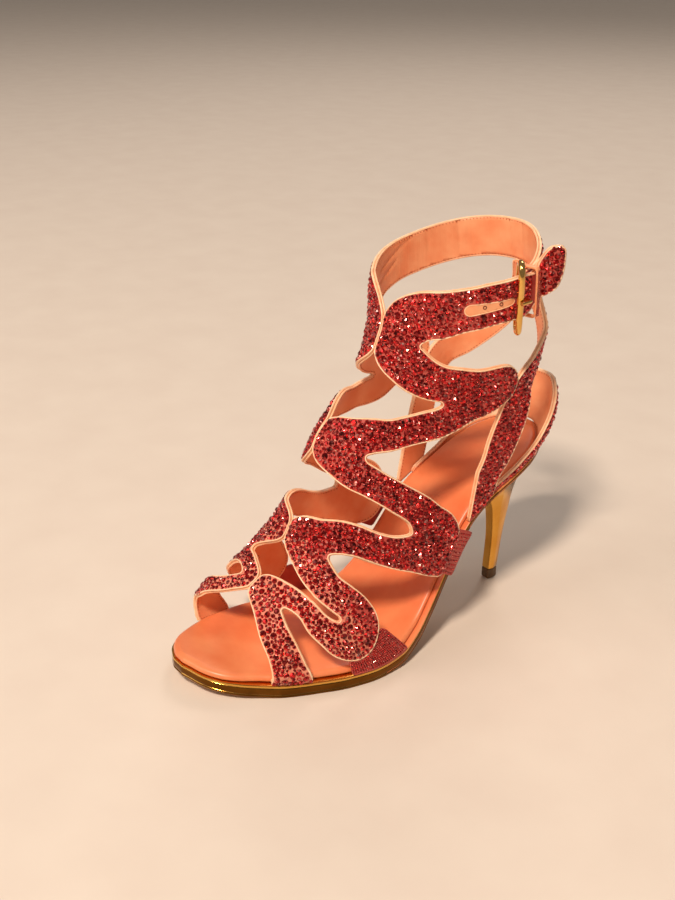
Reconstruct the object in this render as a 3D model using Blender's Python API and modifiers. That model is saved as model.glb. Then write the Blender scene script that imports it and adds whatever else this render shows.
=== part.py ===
"""Strappy high-heel sandal, the left shoe, as separate named pieces.

Shapes are worked out in millimetres: Y runs from the toe tip to the heel, X is
lateral and Z is up from the floor. The meshes are in metres, moved at the end
so that the middle of the whole bounding box stands over the origin.
"""
import math

import bmesh
import bpy
import numpy as np
from mathutils import Vector
from mathutils.geometry import delaunay_2d_cdt

MM = 0.001
SOLE_LENGTH = 214.0
GAP = 0.3
WALL = 2.2
STRAP_SET_IN = 0.5
INSOLE_THICK = 3.2
INSOLE_EDGE = 0.9
INSOLE_LET_IN = 2.7
LET_IN_RUN = 6.0
HEEL_TIP_HIGH = 6.0
SEAM_OVERLAP = 0.9
WEB = 2.0

SOLE_ROWS = (
    # y, lateral x, medial x, top z, bottom z
    (0, -13, -13, 12.0, 6.0),
    (2, -5, -20.5, 11.6, 5.5),
    (4, 1.5, -24.8, 11.1, 4.9),
    (8, 8.3, -30, 10.2, 3.9),
    (17, 16.8, -37.6, 8.6, 2.1),
    (24, 21.3, -41.8, 7.7, 1.1),
    (36, 28.5, -45.5, 6.7, 0),
    (50, 34.5, -46, 6.5, 0),
    (65, 39.7, -44, 6.5, 0),
    (80, 41.8, -41, 6.5, 0),
    (95, 40.8, -36.2, 8.2, 1.6),
    (108, 37, -32, 13.5, 6.5),
    (120, 33.3, -28.8, 24.8, 17.5),
    (130, 31, -27, 38.5, 31),
    (142, 29, -26, 54.5, 49.2),
    (151, 28, -25.6, 63, 59.2),
    (160, 27.4, -25.6, 68, 65),
    (177, 27, -26.3, 75.5, 72.8),
    (189, 25.5, -25, 80.5, 77.8),
    (201, 20.5, -20.3, 85, 82.3),
    (208, 14.5, -14.5, 87.4, 84.7),
    (212, 8.3, -8.3, 88.8, 86.1),
    (214, 0, 0, 89.5, 86.8),
)

# Where straps come down past the edge of the insole.
STRAP_FEET = (
    # first y, last y
    (24, 55),
    (64, 101),
    (112, 214),
)

# Centre line over the toes, up the instep and the front of the ankle.
CREST_ROWS = (
    # station, x, y, z
    (0, -9.5, 27, 30),
    (1, -8.5, 36, 41),
    (2, -8, 45, 48),
    (3, -7, 60, 68),
    (4, -6, 69, 90),
    (5, -5, 79, 113),
    (6, -4, 93, 131),
    (7, -2, 104, 148),
    (8, 0, 109, 162),
    (9, 0, 111, 172),
    (10, 0, 113, 183),
    (11, 0, 115, 193),
)

# Sections of the last over the sole: how far each side swells past the sole.
FOOT_ROWS = (
    # station, y on the sole, lateral swell, medial swell, height of the swell, squareness
    (0, 22, 2.5, 0.5, 0.10, 2.4),
    (1, 36, 2.0, 0.5, 0.12, 2.3),
    (2, 54, 2.0, 0.5, 0.12, 2.2),
    (3, 80, 1.0, 0.5, 0.10, 2.1),
    (4, 106, 1.5, 1.5, 0.10, 2.0),
    (5, 128, 6.5, 4.5, 0.13, 2.0),
    (6, 152, 6.0, 5.0, 0.14, 2.0),
    (7, 182, 6.5, 6.0, 0.20, 2.0),
    (8, 200, 8.0, 8.0, 0.25, 2.0),
)

# Sections round the ankle: where each meets the back of the heel.
LEG_ROWS = (
    # station, y at the back, z at the back, lateral half width, medial half width
    (6, 186, 76, 33, 32),
    (7, 198, 92, 33, 32.5),
    (8, 208, 118, 35, 35),
    (9, 200, 160, 37, 37),
    (10, 196, 202, 38, 38),
    (11, 195, 225, 38.5, 38.5),
)
ANKLE_FROM = 6.5
ANKLE_TO = 7.8

# Serpentine strap, one row for each fold or limb: angle is measured round the
# section from the crest; where the two straps meet it is the angle of the seam.
FOLD_ROWS = (
    # place, station, angle, width
    ("foot", 1.18, 140, 20),
    ("foot", 1.13, 101, 18),
    ("limb", 1.02, 73, 15),
    ("limb", 0.95, 48, 14),
    ("fold", 1.17, 26, 13),
    ("meet", 1.56, 1.5, 13.5),
    ("fold", 2.01, 27, 11),
    ("limb", 2.22, 46, 9.5),
    ("limb", 2.26, 58, 11.5),
    ("limb", 2.40, 68, 13.5),
    ("fold", 2.54, 74, 16.5),
    ("fold", 2.79, 79, 16.5),
    ("fold", 3.06, 74, 15.5),
    ("limb", 3.08, 64, 14.5),
    ("limb", 2.94, 56, 15),
    ("limb", 2.80, 45, 14.5),
    ("limb", 2.79, 33, 16),
    ("fold", 2.86, 24, 17),
    ("meet", 3.03, 1, 16),
    ("fold", 3.36, 26, 16.5),
    ("limb", 3.72, 37, 15.5),
    ("limb", 3.95, 45, 14.5),
    ("limb", 4.20, 55, 14),
    ("limb", 4.47, 65, 15.5),
    ("fold", 4.77, 74, 19),
    ("fold", 5.17, 89, 20.5),
    ("fold", 5.31, 83, 21.5),
    ("limb", 5.26, 76, 20.5),
    ("limb", 5.28, 71, 17),
    ("limb", 5.13, 56, 14.5),
    ("limb", 4.94, 41, 14.5),
    ("limb", 4.83, 31, 16),
    ("fold", 4.85, 25, 18.5),
    ("meet", 4.99, -5, 23),
    ("fold", 5.27, 21, 19.5),
    ("limb", 5.57, 31, 16.5),
    ("limb", 5.84, 40, 14.5),
    ("limb", 6.17, 47, 14),
    ("limb", 6.52, 54, 14.5),
    ("limb", 6.81, 60, 14.5),
    ("fold", 7.11, 68, 15),
    ("fold", 7.48, 83, 19),
    ("fold", 7.66, 90, 20.5),
    ("limb", 7.49, 73, 17.5),
    ("limb", 7.36, 60, 17),
    ("limb", 7.24, 51, 18),
    ("limb", 7.19, 43, 19),
    ("fold", 7.25, 32, 20.5),
    ("meet", 7.58, 1, 20.5),
    ("meet", 8.00, 1, 20.5),
    ("fold", 8.52, 22, 23.5),
    ("limb", 8.91, 32, 23),
    ("limb", 9.04, 44, 22.5),
)

# The medial strap is narrower where it folds over the toes; these take the place of
# the third to the eighth row above.
MEDIAL_TOE_ROWS = (
    # place, station, angle, width
    ("limb", 0.95, 73, 14.5),
    ("limb", 0.68, 50, 11),
    ("fold", 0.66, 30, 8.5),
    ("fold", 1.05, 10.5, 8.5),
    ("meet", 1.62, 1.5, 9),
    ("fold", 2.08, 14, 8.5),
    ("limb", 2.24, 30, 8.5),
    ("limb", 2.26, 46, 9.5),
)

# The medial serpentine climbs a little higher above the third seam.
MEDIAL_RISE_ROWS = (
    # station, rise
    (0, 0),
    (5.1, 0),
    (5.6, 0.26),
    (6.2, 0.2),
    (6.9, 0),
    (9.2, 0),
)

# The lateral ankle strap ends in a pointed tail that lifts off the strap below.
TAIL_ROWS = (
    # station, angle, width
    (9.17, 54, 21),
    (9.26, 65, 20.5),
    (9.35, 77, 20),
    (9.40, 91, 20),
    (9.41, 98, 20),
    (9.46, 103, 15.5),
    (9.48, 108.5, 10.5),
    (9.68, 113, 7),
    (10.05, 115.5, 4),
)
LIFT_ROWS = (
    # angle, lift off the last
    (58, 0),
    (72, 1.0),
    (88, 3.0),
    (104, 3.1),
    (110.5, 4.2),
    (113, 7.5),
    (116, 12.0),
    (119, 15.0),
)

# The medial ankle strap goes on round the back to the bar of the buckle.
ROUND_ROWS = (
    # station, angle, width
    (9.26, -54, 21),
    (9.40, -66, 20.5),
    (9.49, -80, 20),
    (9.54, -94, 20),
    (9.61, -115, 20),
    (9.67, -140, 20),
    (9.69, -165, 20),
    (9.67, -195, 20),
    (9.57, -220, 20),
    (9.45, -245, 20),
    (9.41, -265, 20),
)
ROUND_END = -257

# Tabs that tie the side bends to the sole.
TAB_ROWS = (
    # station at the bend, angle at the bend, width there, station on the sole, width there
    (2.98, 80, 23, 3.10, 34),
    (5.20, 88, 23, 5.45, 15),
)

# Lateral heel strap, from inside the back of the ankle strap down to the waist.
HEEL_STRAP_ROWS = (
    # x, y, z, width, direction it faces in plan (degrees from lateral to back)
    (8.5, 195, 187, 11, 76),
    (10.5, 199, 168, 11, 72),
    (16.5, 202, 146, 11.5, 60),
    (25.5, 187.5, 133, 13, 36),
    (31, 176.5, 127.5, 15.5, 10),
    (32.5, 171, 120.5, 17, -3),
    (32.5, 167, 110.5, 17.5, -8),
    (31.5, 163.5, 100, 17.5, -8),
    (30.5, 160.5, 90.5, 16.5, -4),
    (29, 157.5, 83, 15.5, 0),
)
# The medial heel strap crosses behind the heel and ends just inside the lateral one.
MEDIAL_HEEL_STRAP_TOP = (
    # the same columns, mirrored with the rest of the strap
    (-6, 193, 187, 11, 93),
    (-1.5, 199, 168, 11, 85),
    (13, 203, 149, 11.5, 66),
)
HEEL_STRAP_FOOT_Y = 153.5
HEEL_STRAP_STANDS = 1.1

# Counter: height of its top edge round the heel seat, and its lean outwards.
COUNTER_ROWS = (
    # y along the seat, height, lean
    (152, 3.0, 0.0),
    (170, 3.5, 0.3),
    (187, 6.5, 1.6),
    (199, 11.5, 3.6),
    (207, 18.0, 6.2),
    (211.5, 23.0, 8.2),
    (213.4, 26.0, 9.0),
)

# Heel: a six-sided column, the breast in front and a narrow strip at the back.
HEEL_ROWS = (
    # z, front y, widest y, back y, half width in front, widest, at the back
    (60, 176, 189, 204.5, 7.5, 10, 3.6),
    (50, 185, 193, 202, 3.8, 4.8, 2.3),
    (40, 188, 193, 200, 2.9, 3.5, 2.0),
    (26, 188.8, 192.5, 197.4, 2.6, 3.1, 1.8),
    (6.3, 187.8, 191, 194.8, 2.6, 3.1, 1.8),
)
HEEL_SEAT = (167, 186, 208, 22, 22.5, 8.5)
HEEL_LIP = (169, 186.5, 207.5, 18, 19.5, 7)
HEEL_LIP_DROP = 5.0

BUCKLE_STATION = 9.40
BUCKLE_HIGH = 36.0
BUCKLE_WIRE = 1.6
RING_ANGLE = 90.5
RING_STANDS = 1.5
BAR_ANGLE = 99.5
BAR_DROPS = 0.3
PRONG_WIRE = 0.9
HOLE_ANGLE = 95.3
HOLE_WIDE = 3.6
KEEPER_STATION = 9.42
KEEPER_ANGLE = 107.0
KEEPER_WIDE = 3.0
KEEPER_WALL = 1.2


def spline(rows):
    """Monotone cubic through the rows of a table, the first column being the key."""
    data = np.array(rows, float)
    xs, ys = data[:, 0], data[:, 1:]
    step = np.diff(xs)[:, None]
    slope = np.diff(ys, axis=0) / step
    tangent = np.zeros_like(ys)
    tangent[0], tangent[-1] = slope[0], slope[-1]
    ahead = 2 * step[1:] + step[:-1]
    behind = step[1:] + 2 * step[:-1]
    same = slope[:-1] * slope[1:] > 0
    one, two = np.where(same, slope[:-1], 1), np.where(same, slope[1:], 1)
    tangent[1:-1] = np.where(same, (ahead + behind) / np.where(same, ahead / one + behind / two, 1), 0)

    def at(x):
        x = np.clip(np.asarray(x, float), xs[0], xs[-1])
        i = np.clip(np.searchsorted(xs, x, side="right") - 1, 0, len(xs) - 2)
        width = xs[i + 1] - xs[i]
        t = ((x - xs[i]) / width)[..., None]
        width = width[..., None]
        y = ((1 + 2 * t) * (1 - t) ** 2 * ys[i] + t * (1 - t) ** 2 * width * tangent[i]
             + t * t * (3 - 2 * t) * ys[i + 1] + t * t * (t - 1) * width * tangent[i + 1])
        return np.moveaxis(y, -1, 0)

    return at


def turn(y):
    """Even parameter along the sole that rounds its two ends."""
    return np.arccos(np.clip(1 - 2 * np.asarray(y, float) / SOLE_LENGTH, -1, 1)) / np.pi


outline_at = spline([(float(turn(row[0])), row[1], row[2]) for row in SOLE_ROWS])
profile_at = spline([(row[0], row[3], row[4]) for row in SOLE_ROWS])
crest_at = spline(CREST_ROWS)
foot_at = spline(FOOT_ROWS)
leg_at = spline(LEG_ROWS)
lift_at = spline(LIFT_ROWS)
rise_at = spline(MEDIAL_RISE_ROWS)


def last_point(station, angle):
    """Point of the last at a station, by the angle round the section from the crest."""
    station, angle = np.broadcast_arrays(np.asarray(station, float), np.asarray(angle, float))
    angle = np.where(angle < -180, angle + 360, angle)
    side = np.where(angle >= 0, 1.0, -1.0)
    round_by = np.abs(angle)
    sine, cosine = np.sin(np.radians(round_by)), np.cos(np.radians(round_by))
    crest_x, crest_y, crest_z = crest_at(station)
    sole_y, swell_lateral, swell_medial, low, power = foot_at(station)
    lateral, medial = outline_at(turn(sole_y))
    floor_z = profile_at(sole_y)[0] + GAP
    edge = np.where(side > 0, lateral - STRAP_SET_IN, -medial - STRAP_SET_IN)
    wide = edge + np.where(side > 0, swell_lateral, swell_medial)
    drop = np.clip((round_by - 90) / 30, 0, 1)
    under = np.clip((round_by - 120) / 60, 0, 1)
    out = np.where(round_by <= 90, wide * np.abs(sine) ** (2 / power),
                   (wide + (edge - wide) * drop ** 1.6) * (1 - under))
    up = np.where(round_by <= 90, low + (1 - low) * np.maximum(cosine, 0) ** (2 / power), low * (1 - drop))
    foot = np.stack([side * out + crest_x * up, sole_y + (crest_y - sole_y) * up,
                     floor_z + (crest_z - floor_z) * up], -1)
    back_y, back_z, half_lateral, half_medial = leg_at(station)
    half = np.where(side > 0, half_lateral, half_medial)
    up = 0.5 + 0.5 * cosine
    leg = np.stack([side * half * sine + crest_x * up, back_y + (crest_y - back_y) * up,
                    back_z + (crest_z - back_z) * up], -1)
    share = np.clip((station - ANKLE_FROM) / (ANKLE_TO - ANKLE_FROM), 0, 1)
    share = (share * share * (3 - 2 * share))[..., None]
    return foot * (1 - share) + leg * share


def last_normal(station, angle):
    """Outward normal of the last."""
    along = last_point(station + 0.02, angle) - last_point(station - 0.02, angle)
    across = last_point(station, angle + 0.5) - last_point(station, angle - 0.5)
    normal = np.cross(across, along)
    return normal / np.linalg.norm(normal, axis=-1, keepdims=True)


def strap_lift(station, angle):
    """The lateral ankle strap lies over the end of the medial one."""
    over = np.clip((station - 8.3) / 0.5, 0, 1)
    return np.where(angle > 0, lift_at(angle)[0] * over, 0.0)


def draw_line(points, spacing):
    """Smooth line through rows of (station, angle, width), sampled evenly on the last."""
    rows = np.array(points, float)
    places = last_point(rows[:, 0], rows[:, 1])
    run = np.concatenate([[0], np.cumsum(np.linalg.norm(np.diff(places, axis=0), axis=1))])
    tangent = np.gradient(rows, run, axis=0)
    fine = np.linspace(0, run[-1], max(4, int(run[-1] / spacing)) + 1)
    i = np.clip(np.searchsorted(run, fine, side="right") - 1, 0, len(run) - 2)
    width = (run[i + 1] - run[i])[:, None]
    t = ((fine - run[i])[:, None]) / width
    return ((1 + 2 * t) * (1 - t) ** 2 * rows[i] + t * (1 - t) ** 2 * width * tangent[i]
            + t * t * (3 - 2 * t) * rows[i + 1] + t * t * (t - 1) * width * tangent[i + 1])


def fold_line(side):
    """Rows of the serpentine on one side, with the folds that meet set out from the crest."""
    rows = []
    folds = FOLD_ROWS if side > 0 else FOLD_ROWS[:2] + MEDIAL_TOE_ROWS + FOLD_ROWS[8:]
    for place, station, angle, width in folds:
        if place == "meet":
            per_degree = np.linalg.norm(last_point(station, side * 14.0) - last_point(station, 0.0)) / 14
            angle = side * angle + (width / 2 - SEAM_OVERLAP) / per_degree
        rise = float(rise_at(station)[0]) if side < 0 else 0.0
        rows.append((station + rise, side * angle, width))
    return rows


def strap_lines(spacing):
    """Every strap of the main upper as sampled rows of (station, angle, width)."""
    lines = [draw_line(fold_line(1) + list(TAIL_ROWS), spacing),
             draw_line(fold_line(-1) + list(ROUND_ROWS), spacing)]
    for station, angle, width, foot_station, foot_width in TAB_ROWS:
        for side in (1, -1):
            lines.append(draw_line([(station, side * angle, width), (foot_station, side * 105, foot_width),
                                    (foot_station, side * 150, foot_width)], spacing))
    return lines


def strap_field(lines, station, angle, web):
    """Distance in mm outside the straps (negative inside), rounded by web where they join."""
    places = last_point(station, angle)
    flat = places.reshape(-1, 3)
    here = np.asarray(angle, float).reshape(-1)
    total = np.zeros(len(flat))
    nearest = np.full(len(flat), 1e9)
    parts = []
    for line in lines:
        spots = last_point(line[:, 0], line[:, 1])
        best = np.full(len(flat), 1e9)
        for spot, row in zip(spots, line):
            close = np.abs(here - row[1]) < 75
            gap = np.linalg.norm(flat - spot, axis=1) - row[2] / 2
            best = np.minimum(best, np.where(close, gap, 1e9))
        parts.append(best)
        nearest = np.minimum(nearest, best)
    if web:
        for part in parts:
            total += np.exp(-np.clip(part - nearest, 0, 60) / web)
        nearest = nearest - web * np.log(np.maximum(total, 1e-9)) * (nearest < 20)
    above = flat[:, 2] - GAP - profile_at(flat[:, 1])[0]
    on_foot = (np.asarray(station, float).reshape(-1) < 7.2) & (np.abs(here) < 200)
    nearest = np.where(on_foot, np.maximum(nearest, (np.abs(here) - 119.5) * 0.6), nearest)
    nearest = np.maximum(nearest, -above - 0.01)
    hole = last_point(BUCKLE_STATION, HOLE_ANGLE)
    to_hole = np.where(np.abs(here - HOLE_ANGLE) < 30, np.linalg.norm(flat - hole, axis=1), 99)
    nearest = np.maximum(nearest, HOLE_WIDE / 2 - to_hole)
    return nearest.reshape(np.asarray(station).shape)


def contour_loops(field, xs, ys):
    """Closed outlines where a field on a grid crosses zero."""
    crossing, links = {}, {}

    def cut(a, b):
        key = (a, b) if a < b else (b, a)
        if key not in crossing:
            va, vb = field[a], field[b]
            t = va / (va - vb)
            crossing[key] = (xs[a[0]] + (xs[b[0]] - xs[a[0]]) * t, ys[a[1]] + (ys[b[1]] - ys[a[1]]) * t)
        return key

    inside = field < 0
    mixed = inside[:-1, :-1].astype(int) + inside[1:, :-1] + inside[1:, 1:] + inside[:-1, 1:]
    for i, j in zip(*np.where((mixed > 0) & (mixed < 4))):
        corners = [(i, j), (i + 1, j), (i + 1, j + 1), (i, j + 1)]
        cuts = [cut(corners[k], corners[(k + 1) % 4]) for k in range(4)
                if inside[corners[k]] != inside[corners[(k + 1) % 4]]]
        for k in range(0, len(cuts), 2):
            links.setdefault(cuts[k], []).append(cuts[k + 1])
            links.setdefault(cuts[k + 1], []).append(cuts[k])
    loops, used = [], set()
    for start in links:
        if start in used:
            continue
        loop, here = [start], start
        used.add(start)
        while True:
            onward = [key for key in links[here] if key not in used]
            if not onward:
                break
            here = onward[0]
            used.add(here)
            loop.append(here)
        loops.append(np.array([crossing[key] for key in loop]))
    return loops


def even_loop(loop, places, spacing):
    """Thin an outline to even steps along the last, keeping at least eight points."""
    run = np.concatenate([[0], np.cumsum(np.linalg.norm(np.diff(places, axis=0, append=places[:1]), axis=1))])
    count = max(8, int(round(run[-1] / spacing)))
    fine = np.linspace(0, run[-1], count, endpoint=False)
    closed = np.vstack([loop, loop[:1]])
    return np.stack([np.interp(fine, run, closed[:, k]) for k in range(2)], -1)


def inside_loops(points, loops):
    """Which points are inside the outlines, a loop inside another being a hole."""
    inside = np.zeros(len(points), bool)
    x, y = points[:, 0], points[:, 1]
    for loop in loops:
        for (ax, ay), (bx, by) in zip(loop, np.roll(loop, -1, axis=0)):
            if ay != by:
                inside ^= ((ay > y) != (by > y)) & (x < ax + (y - ay) * (bx - ax) / (by - ay))
    return inside


STATION_MM = 20.0
ANGLE_MM = 0.62


def strap_sheet(lines, stations, angles, step, spacing, web, lift):
    """Cut the straps out of the last's surface: an open sheet of points and triangles."""
    us = np.arange(stations[0], stations[1], step / STATION_MM)
    vs = np.arange(angles[0], angles[1], step / ANGLE_MM)
    grid_u, grid_v = np.meshgrid(us, vs, indexing="ij")
    field = strap_field(lines, grid_u, grid_v, web)
    field[0, :] = np.maximum(field[0, :], 0.5)
    field[-1, :] = np.maximum(field[-1, :], 0.5)
    field[:, 0] = np.maximum(field[:, 0], 0.5)
    field[:, -1] = np.maximum(field[:, -1], 0.5)
    points, edges, loops = [], [], []
    for loop in contour_loops(field, us, vs):
        if len(loop) < 6:
            continue
        loop = even_loop(loop, last_point(loop[:, 0], loop[:, 1]), spacing)
        loops.append(loop)
        first = len(points)
        points.extend(map(tuple, loop))
        edges.extend((first + k, first + (k + 1) % len(loop)) for k in range(len(loop)))
    every = max(1, int(round(spacing / step)))
    odd = 0
    for i in range(0, len(us), every):
        odd = (odd + 1) % 2
        for j in range(odd * every // 2, len(vs), every):
            if field[i, j] < -0.55 * spacing:
                points.append((us[i], vs[j]))
    flat = [Vector((u * STATION_MM, v * ANGLE_MM)) for u, v in points]
    spots, _, faces, *_ = delaunay_2d_cdt(flat, edges, [], 0, 1e-4)
    chart = np.array([(p.x / STATION_MM, p.y / ANGLE_MM) for p in spots])
    faces = np.array([face for face in faces if len(face) == 3])
    faces = faces[inside_loops(chart[faces].mean(axis=1), loops)]
    used = np.unique(faces)
    renumber = np.full(len(chart), -1)
    renumber[used] = np.arange(len(used))
    chart, faces = chart[used], renumber[faces]
    places = last_point(chart[:, 0], chart[:, 1])
    outward = last_normal(chart[:, 0], chart[:, 1])
    places = places + outward * lift(chart[:, 0], chart[:, 1])[:, None]
    one, two, three = places[faces[:, 0]], places[faces[:, 1]], places[faces[:, 2]]
    facing = (np.cross(two - one, three - one) * outward[faces].sum(axis=1)).sum()
    return places, faces if facing > 0 else faces[:, ::-1]


def new_object(name, collection):
    """Empty mesh object in a collection."""
    item = bpy.data.objects.new(name, bpy.data.meshes.new(name))
    collection.objects.link(item)
    return item


def fill_mesh(item, places, faces):
    """Give an object its points (mm) and faces, facing out."""
    shape = bmesh.new()
    spots = [shape.verts.new(Vector(map(float, p)) * MM) for p in places]
    for face in faces:
        shape.faces.new([spots[int(k)] for k in face])
    bmesh.ops.remove_doubles(shape, verts=shape.verts, dist=1e-7)
    shape.to_mesh(item.data)
    shape.free()


def apply_modifiers(item):
    """Turn an object's modifiers into its mesh."""
    graph = bpy.context.evaluated_depsgraph_get()
    done = bpy.data.meshes.new_from_object(item.evaluated_get(graph))
    item.modifiers.clear()
    old = item.data
    item.data = done
    bpy.data.meshes.remove(old)


def thicken(item, wall):
    """Make an open sheet a wall, the sheet being its outer face."""
    solid = item.modifiers.new("wall", "SOLIDIFY")
    solid.thickness = wall * MM
    solid.offset = -1.0
    solid.use_even_offset = False
    apply_modifiers(item)


def join(item, other):
    """Union of two solids."""
    union = item.modifiers.new("join", "BOOLEAN")
    union.operation = "UNION"
    union.solver = "EXACT"
    union.object = other
    apply_modifiers(item)


def loft(item, rings):
    """Close a run of rings of equal count into one solid."""
    shape = bmesh.new()
    loops = [[shape.verts.new(Vector(map(float, p)) * MM) for p in ring] for ring in rings]
    count = len(loops[0])
    for low, high in zip(loops, loops[1:]):
        for k in range(count):
            shape.faces.new((low[k], low[(k + 1) % count], high[(k + 1) % count], high[k]))
    shape.faces.new(list(reversed(loops[0])))
    shape.faces.new(loops[-1])
    bmesh.ops.recalc_face_normals(shape, faces=shape.faces)
    shape.to_mesh(item.data)
    shape.free()


def slab_ring(y, medial, lateral, low, high, edge):
    """Ring across the sole at y: flat top and bottom, sides eased by edge."""
    ease = min(edge, 0.35 * (lateral - medial), 0.45 * (high - low))
    ring = []
    for t in (0, 0.34, 0.66, 1):
        ring.append((medial + ease + (lateral - medial - 2 * ease) * t, y, high))
    ring += [(lateral, y, high - ease), (lateral, y, low + ease)]
    for t in (1, 0.66, 0.34, 0):
        ring.append((medial + ease + (lateral - medial - 2 * ease) * t, y, low))
    ring += [(medial, y, low + ease), (medial, y, high - ease)]
    return ring


def sole_stations(first, last, count):
    """Stations along the sole, closer at its rounded ends."""
    return SOLE_LENGTH * (1 - np.cos(np.pi * np.linspace(first, last, count))) / 2


def build_outsole(item):
    rings = []
    for y in sole_stations(0.022, 0.978, 46):
        lateral, medial = outline_at(turn(y))
        top, bottom = profile_at(y)
        rings.append(slab_ring(y, medial, lateral, bottom, top, 0.7))
    loft(item, rings)


def let_in(y):
    """How far the insole's edge stands in from the edge of the sole."""
    depth = INSOLE_EDGE
    for first, last in STRAP_FEET:
        coming = np.clip((y - first + LET_IN_RUN) / LET_IN_RUN, 0, 1)
        going = np.clip((last + LET_IN_RUN - y) / LET_IN_RUN, 0, 1)
        share = coming * going
        depth = max(depth, INSOLE_EDGE + INSOLE_LET_IN * share * share * (3 - 2 * share))
    return depth


def build_insole(item):
    rings = []
    first, last = INSOLE_EDGE, SOLE_LENGTH - INSOLE_EDGE - INSOLE_LET_IN
    for y in sole_stations(0.026, 0.974, 58):
        along = first + (last - first) * y / SOLE_LENGTH
        lateral, medial = outline_at(turn(y))
        bottom = profile_at(along)[0] + GAP + 0.25
        depth = min(let_in(along), 0.4 * (lateral - medial))
        rings.append(slab_ring(along, medial + depth, lateral - depth, bottom, bottom + INSOLE_THICK, 1.3))
    loft(item, rings)


def heel_ring(front, widest, back, half_front, half_widest, half_back, height):
    """Six-sided ring of the heel; height is a number or a function of y."""
    corners = ((-half_front, front), (half_front, front), (half_widest, widest), (half_back, back),
               (-half_back, back), (-half_widest, widest))
    return [(x, y, height(y) if callable(height) else height) for x, y in corners]


def build_heel(item):
    def seat(y):
        return float(profile_at(y)[1]) - GAP

    def lip(y):
        return seat(y) - HEEL_LIP_DROP

    rings = [heel_ring(*HEEL_SEAT, seat), heel_ring(*HEEL_LIP, lip)]
    row_at = spline(sorted(HEEL_ROWS))
    for z in np.linspace(HEEL_ROWS[0][0], HEEL_ROWS[-1][0], 13):
        rings.append(heel_ring(*[float(v) for v in row_at(z)], float(z)))
    loft(item, rings)


def build_heel_tip(item):
    row = HEEL_ROWS[-1][1:]
    rings = [heel_ring(*row, HEEL_TIP_HIGH), heel_ring(*row, 0.6)]
    small = (row[0] + 0.4, row[1], row[2] - 0.4, row[3] - 0.4, row[4] - 0.4, row[5] - 0.2)
    rings.append(heel_ring(*small, 0.0))
    loft(item, rings)


def build_counter(item):
    """Low wall round the back of the heel seat."""
    row_at = spline(COUNTER_ROWS)
    first = float(turn(COUNTER_ROWS[0][0]))
    ways = [(t, 1) for t in np.linspace(first, 0.992, 17)] + [(t, -1) for t in np.linspace(0.992, first, 17)]
    places = []
    for t, side in ways:
        y = SOLE_LENGTH * (1 - math.cos(math.pi * t)) / 2
        lateral, medial = outline_at(t)
        ahead, behind = outline_at(min(t + 0.004, 1.0)), outline_at(t - 0.004)
        dy = SOLE_LENGTH * (math.cos(math.pi * (t - 0.004)) - math.cos(math.pi * min(t + 0.004, 1.0))) / 2
        k = 0 if side > 0 else 1
        dx = float(ahead[k] - behind[k])
        out = np.array([side * dy, -side * dx])
        out /= np.linalg.norm(out)
        base = np.array([float(lateral if side > 0 else medial), y]) - out * STRAP_SET_IN
        high, lean = [float(v) for v in row_at(y)]
        floor_z = float(profile_at(y)[0]) + GAP
        for share in (0.0, 0.25, 0.5, 0.75, 1.0):
            spot = base + out * lean * math.sin(share * 1.9) / math.sin(1.9)
            places.append((spot[0], spot[1], floor_z + high * share))
    rows = len(ways)
    faces = [(5 * i + k, 5 * i + k + 1, 5 * i + k + 6, 5 * i + k + 5)
             for i in range(rows - 1) for k in range(4)]
    fill_mesh(item, places, [face[::-1] for face in faces])
    thicken(item, WALL)


def smooth_rows(rows, count):
    """Even smooth rows through a table whose first three columns are a place."""
    rows = np.array(rows, float)
    run = np.concatenate([[0], np.cumsum(np.linalg.norm(np.diff(rows[:, :3], axis=0), axis=1))])
    tangent = np.gradient(rows, run, axis=0)
    fine = np.linspace(0, run[-1], count)
    i = np.clip(np.searchsorted(run, fine, side="right") - 1, 0, len(run) - 2)
    width = (run[i + 1] - run[i])[:, None]
    t = ((fine - run[i])[:, None]) / width
    return ((1 + 2 * t) * (1 - t) ** 2 * rows[i] + t * (1 - t) ** 2 * width * tangent[i]
            + t * t * (3 - 2 * t) * rows[i + 1] + t * t * (t - 1) * width * tangent[i + 1])


def build_heel_strap(item, side):
    """Ribbon bowed from the back of the ankle round to the edge of the waist."""
    rows = HEEL_STRAP_ROWS if side > 0 else MEDIAL_HEEL_STRAP_TOP + HEEL_STRAP_ROWS[3:]
    rows = smooth_rows(rows, 22)
    places = []
    for row, along in zip(rows, np.gradient(rows[:, :3], axis=0)):
        along = along / np.linalg.norm(along)
        facing = np.array([math.cos(math.radians(row[4])), math.sin(math.radians(row[4])), 0.0])
        across = np.cross(along, facing)
        across /= np.linalg.norm(across)
        places += [row[:3] + across * row[3] * share for share in (-0.5, -0.17, 0.17, 0.5)]
    wide = HEEL_STRAP_ROWS[-1][3]
    for share in (-0.5, -0.17, 0.17, 0.5):
        y = HEEL_STRAP_FOOT_Y - wide * share
        edge = float(outline_at(turn(y))[0]) - STRAP_SET_IN + HEEL_STRAP_STANDS
        places.append(np.array([edge, y, float(profile_at(y)[0]) + GAP]))
    places = np.array(places) * (side, 1, 1)
    count = len(places) // 4
    faces = [(4 * i + k, 4 * i + k + 1, 4 * i + k + 5, 4 * i + k + 4)
             for i in range(count - 1) for k in range(3)]
    fill_mesh(item, places, faces if side > 0 else [face[::-1] for face in faces])
    thicken(item, WALL)


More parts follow.
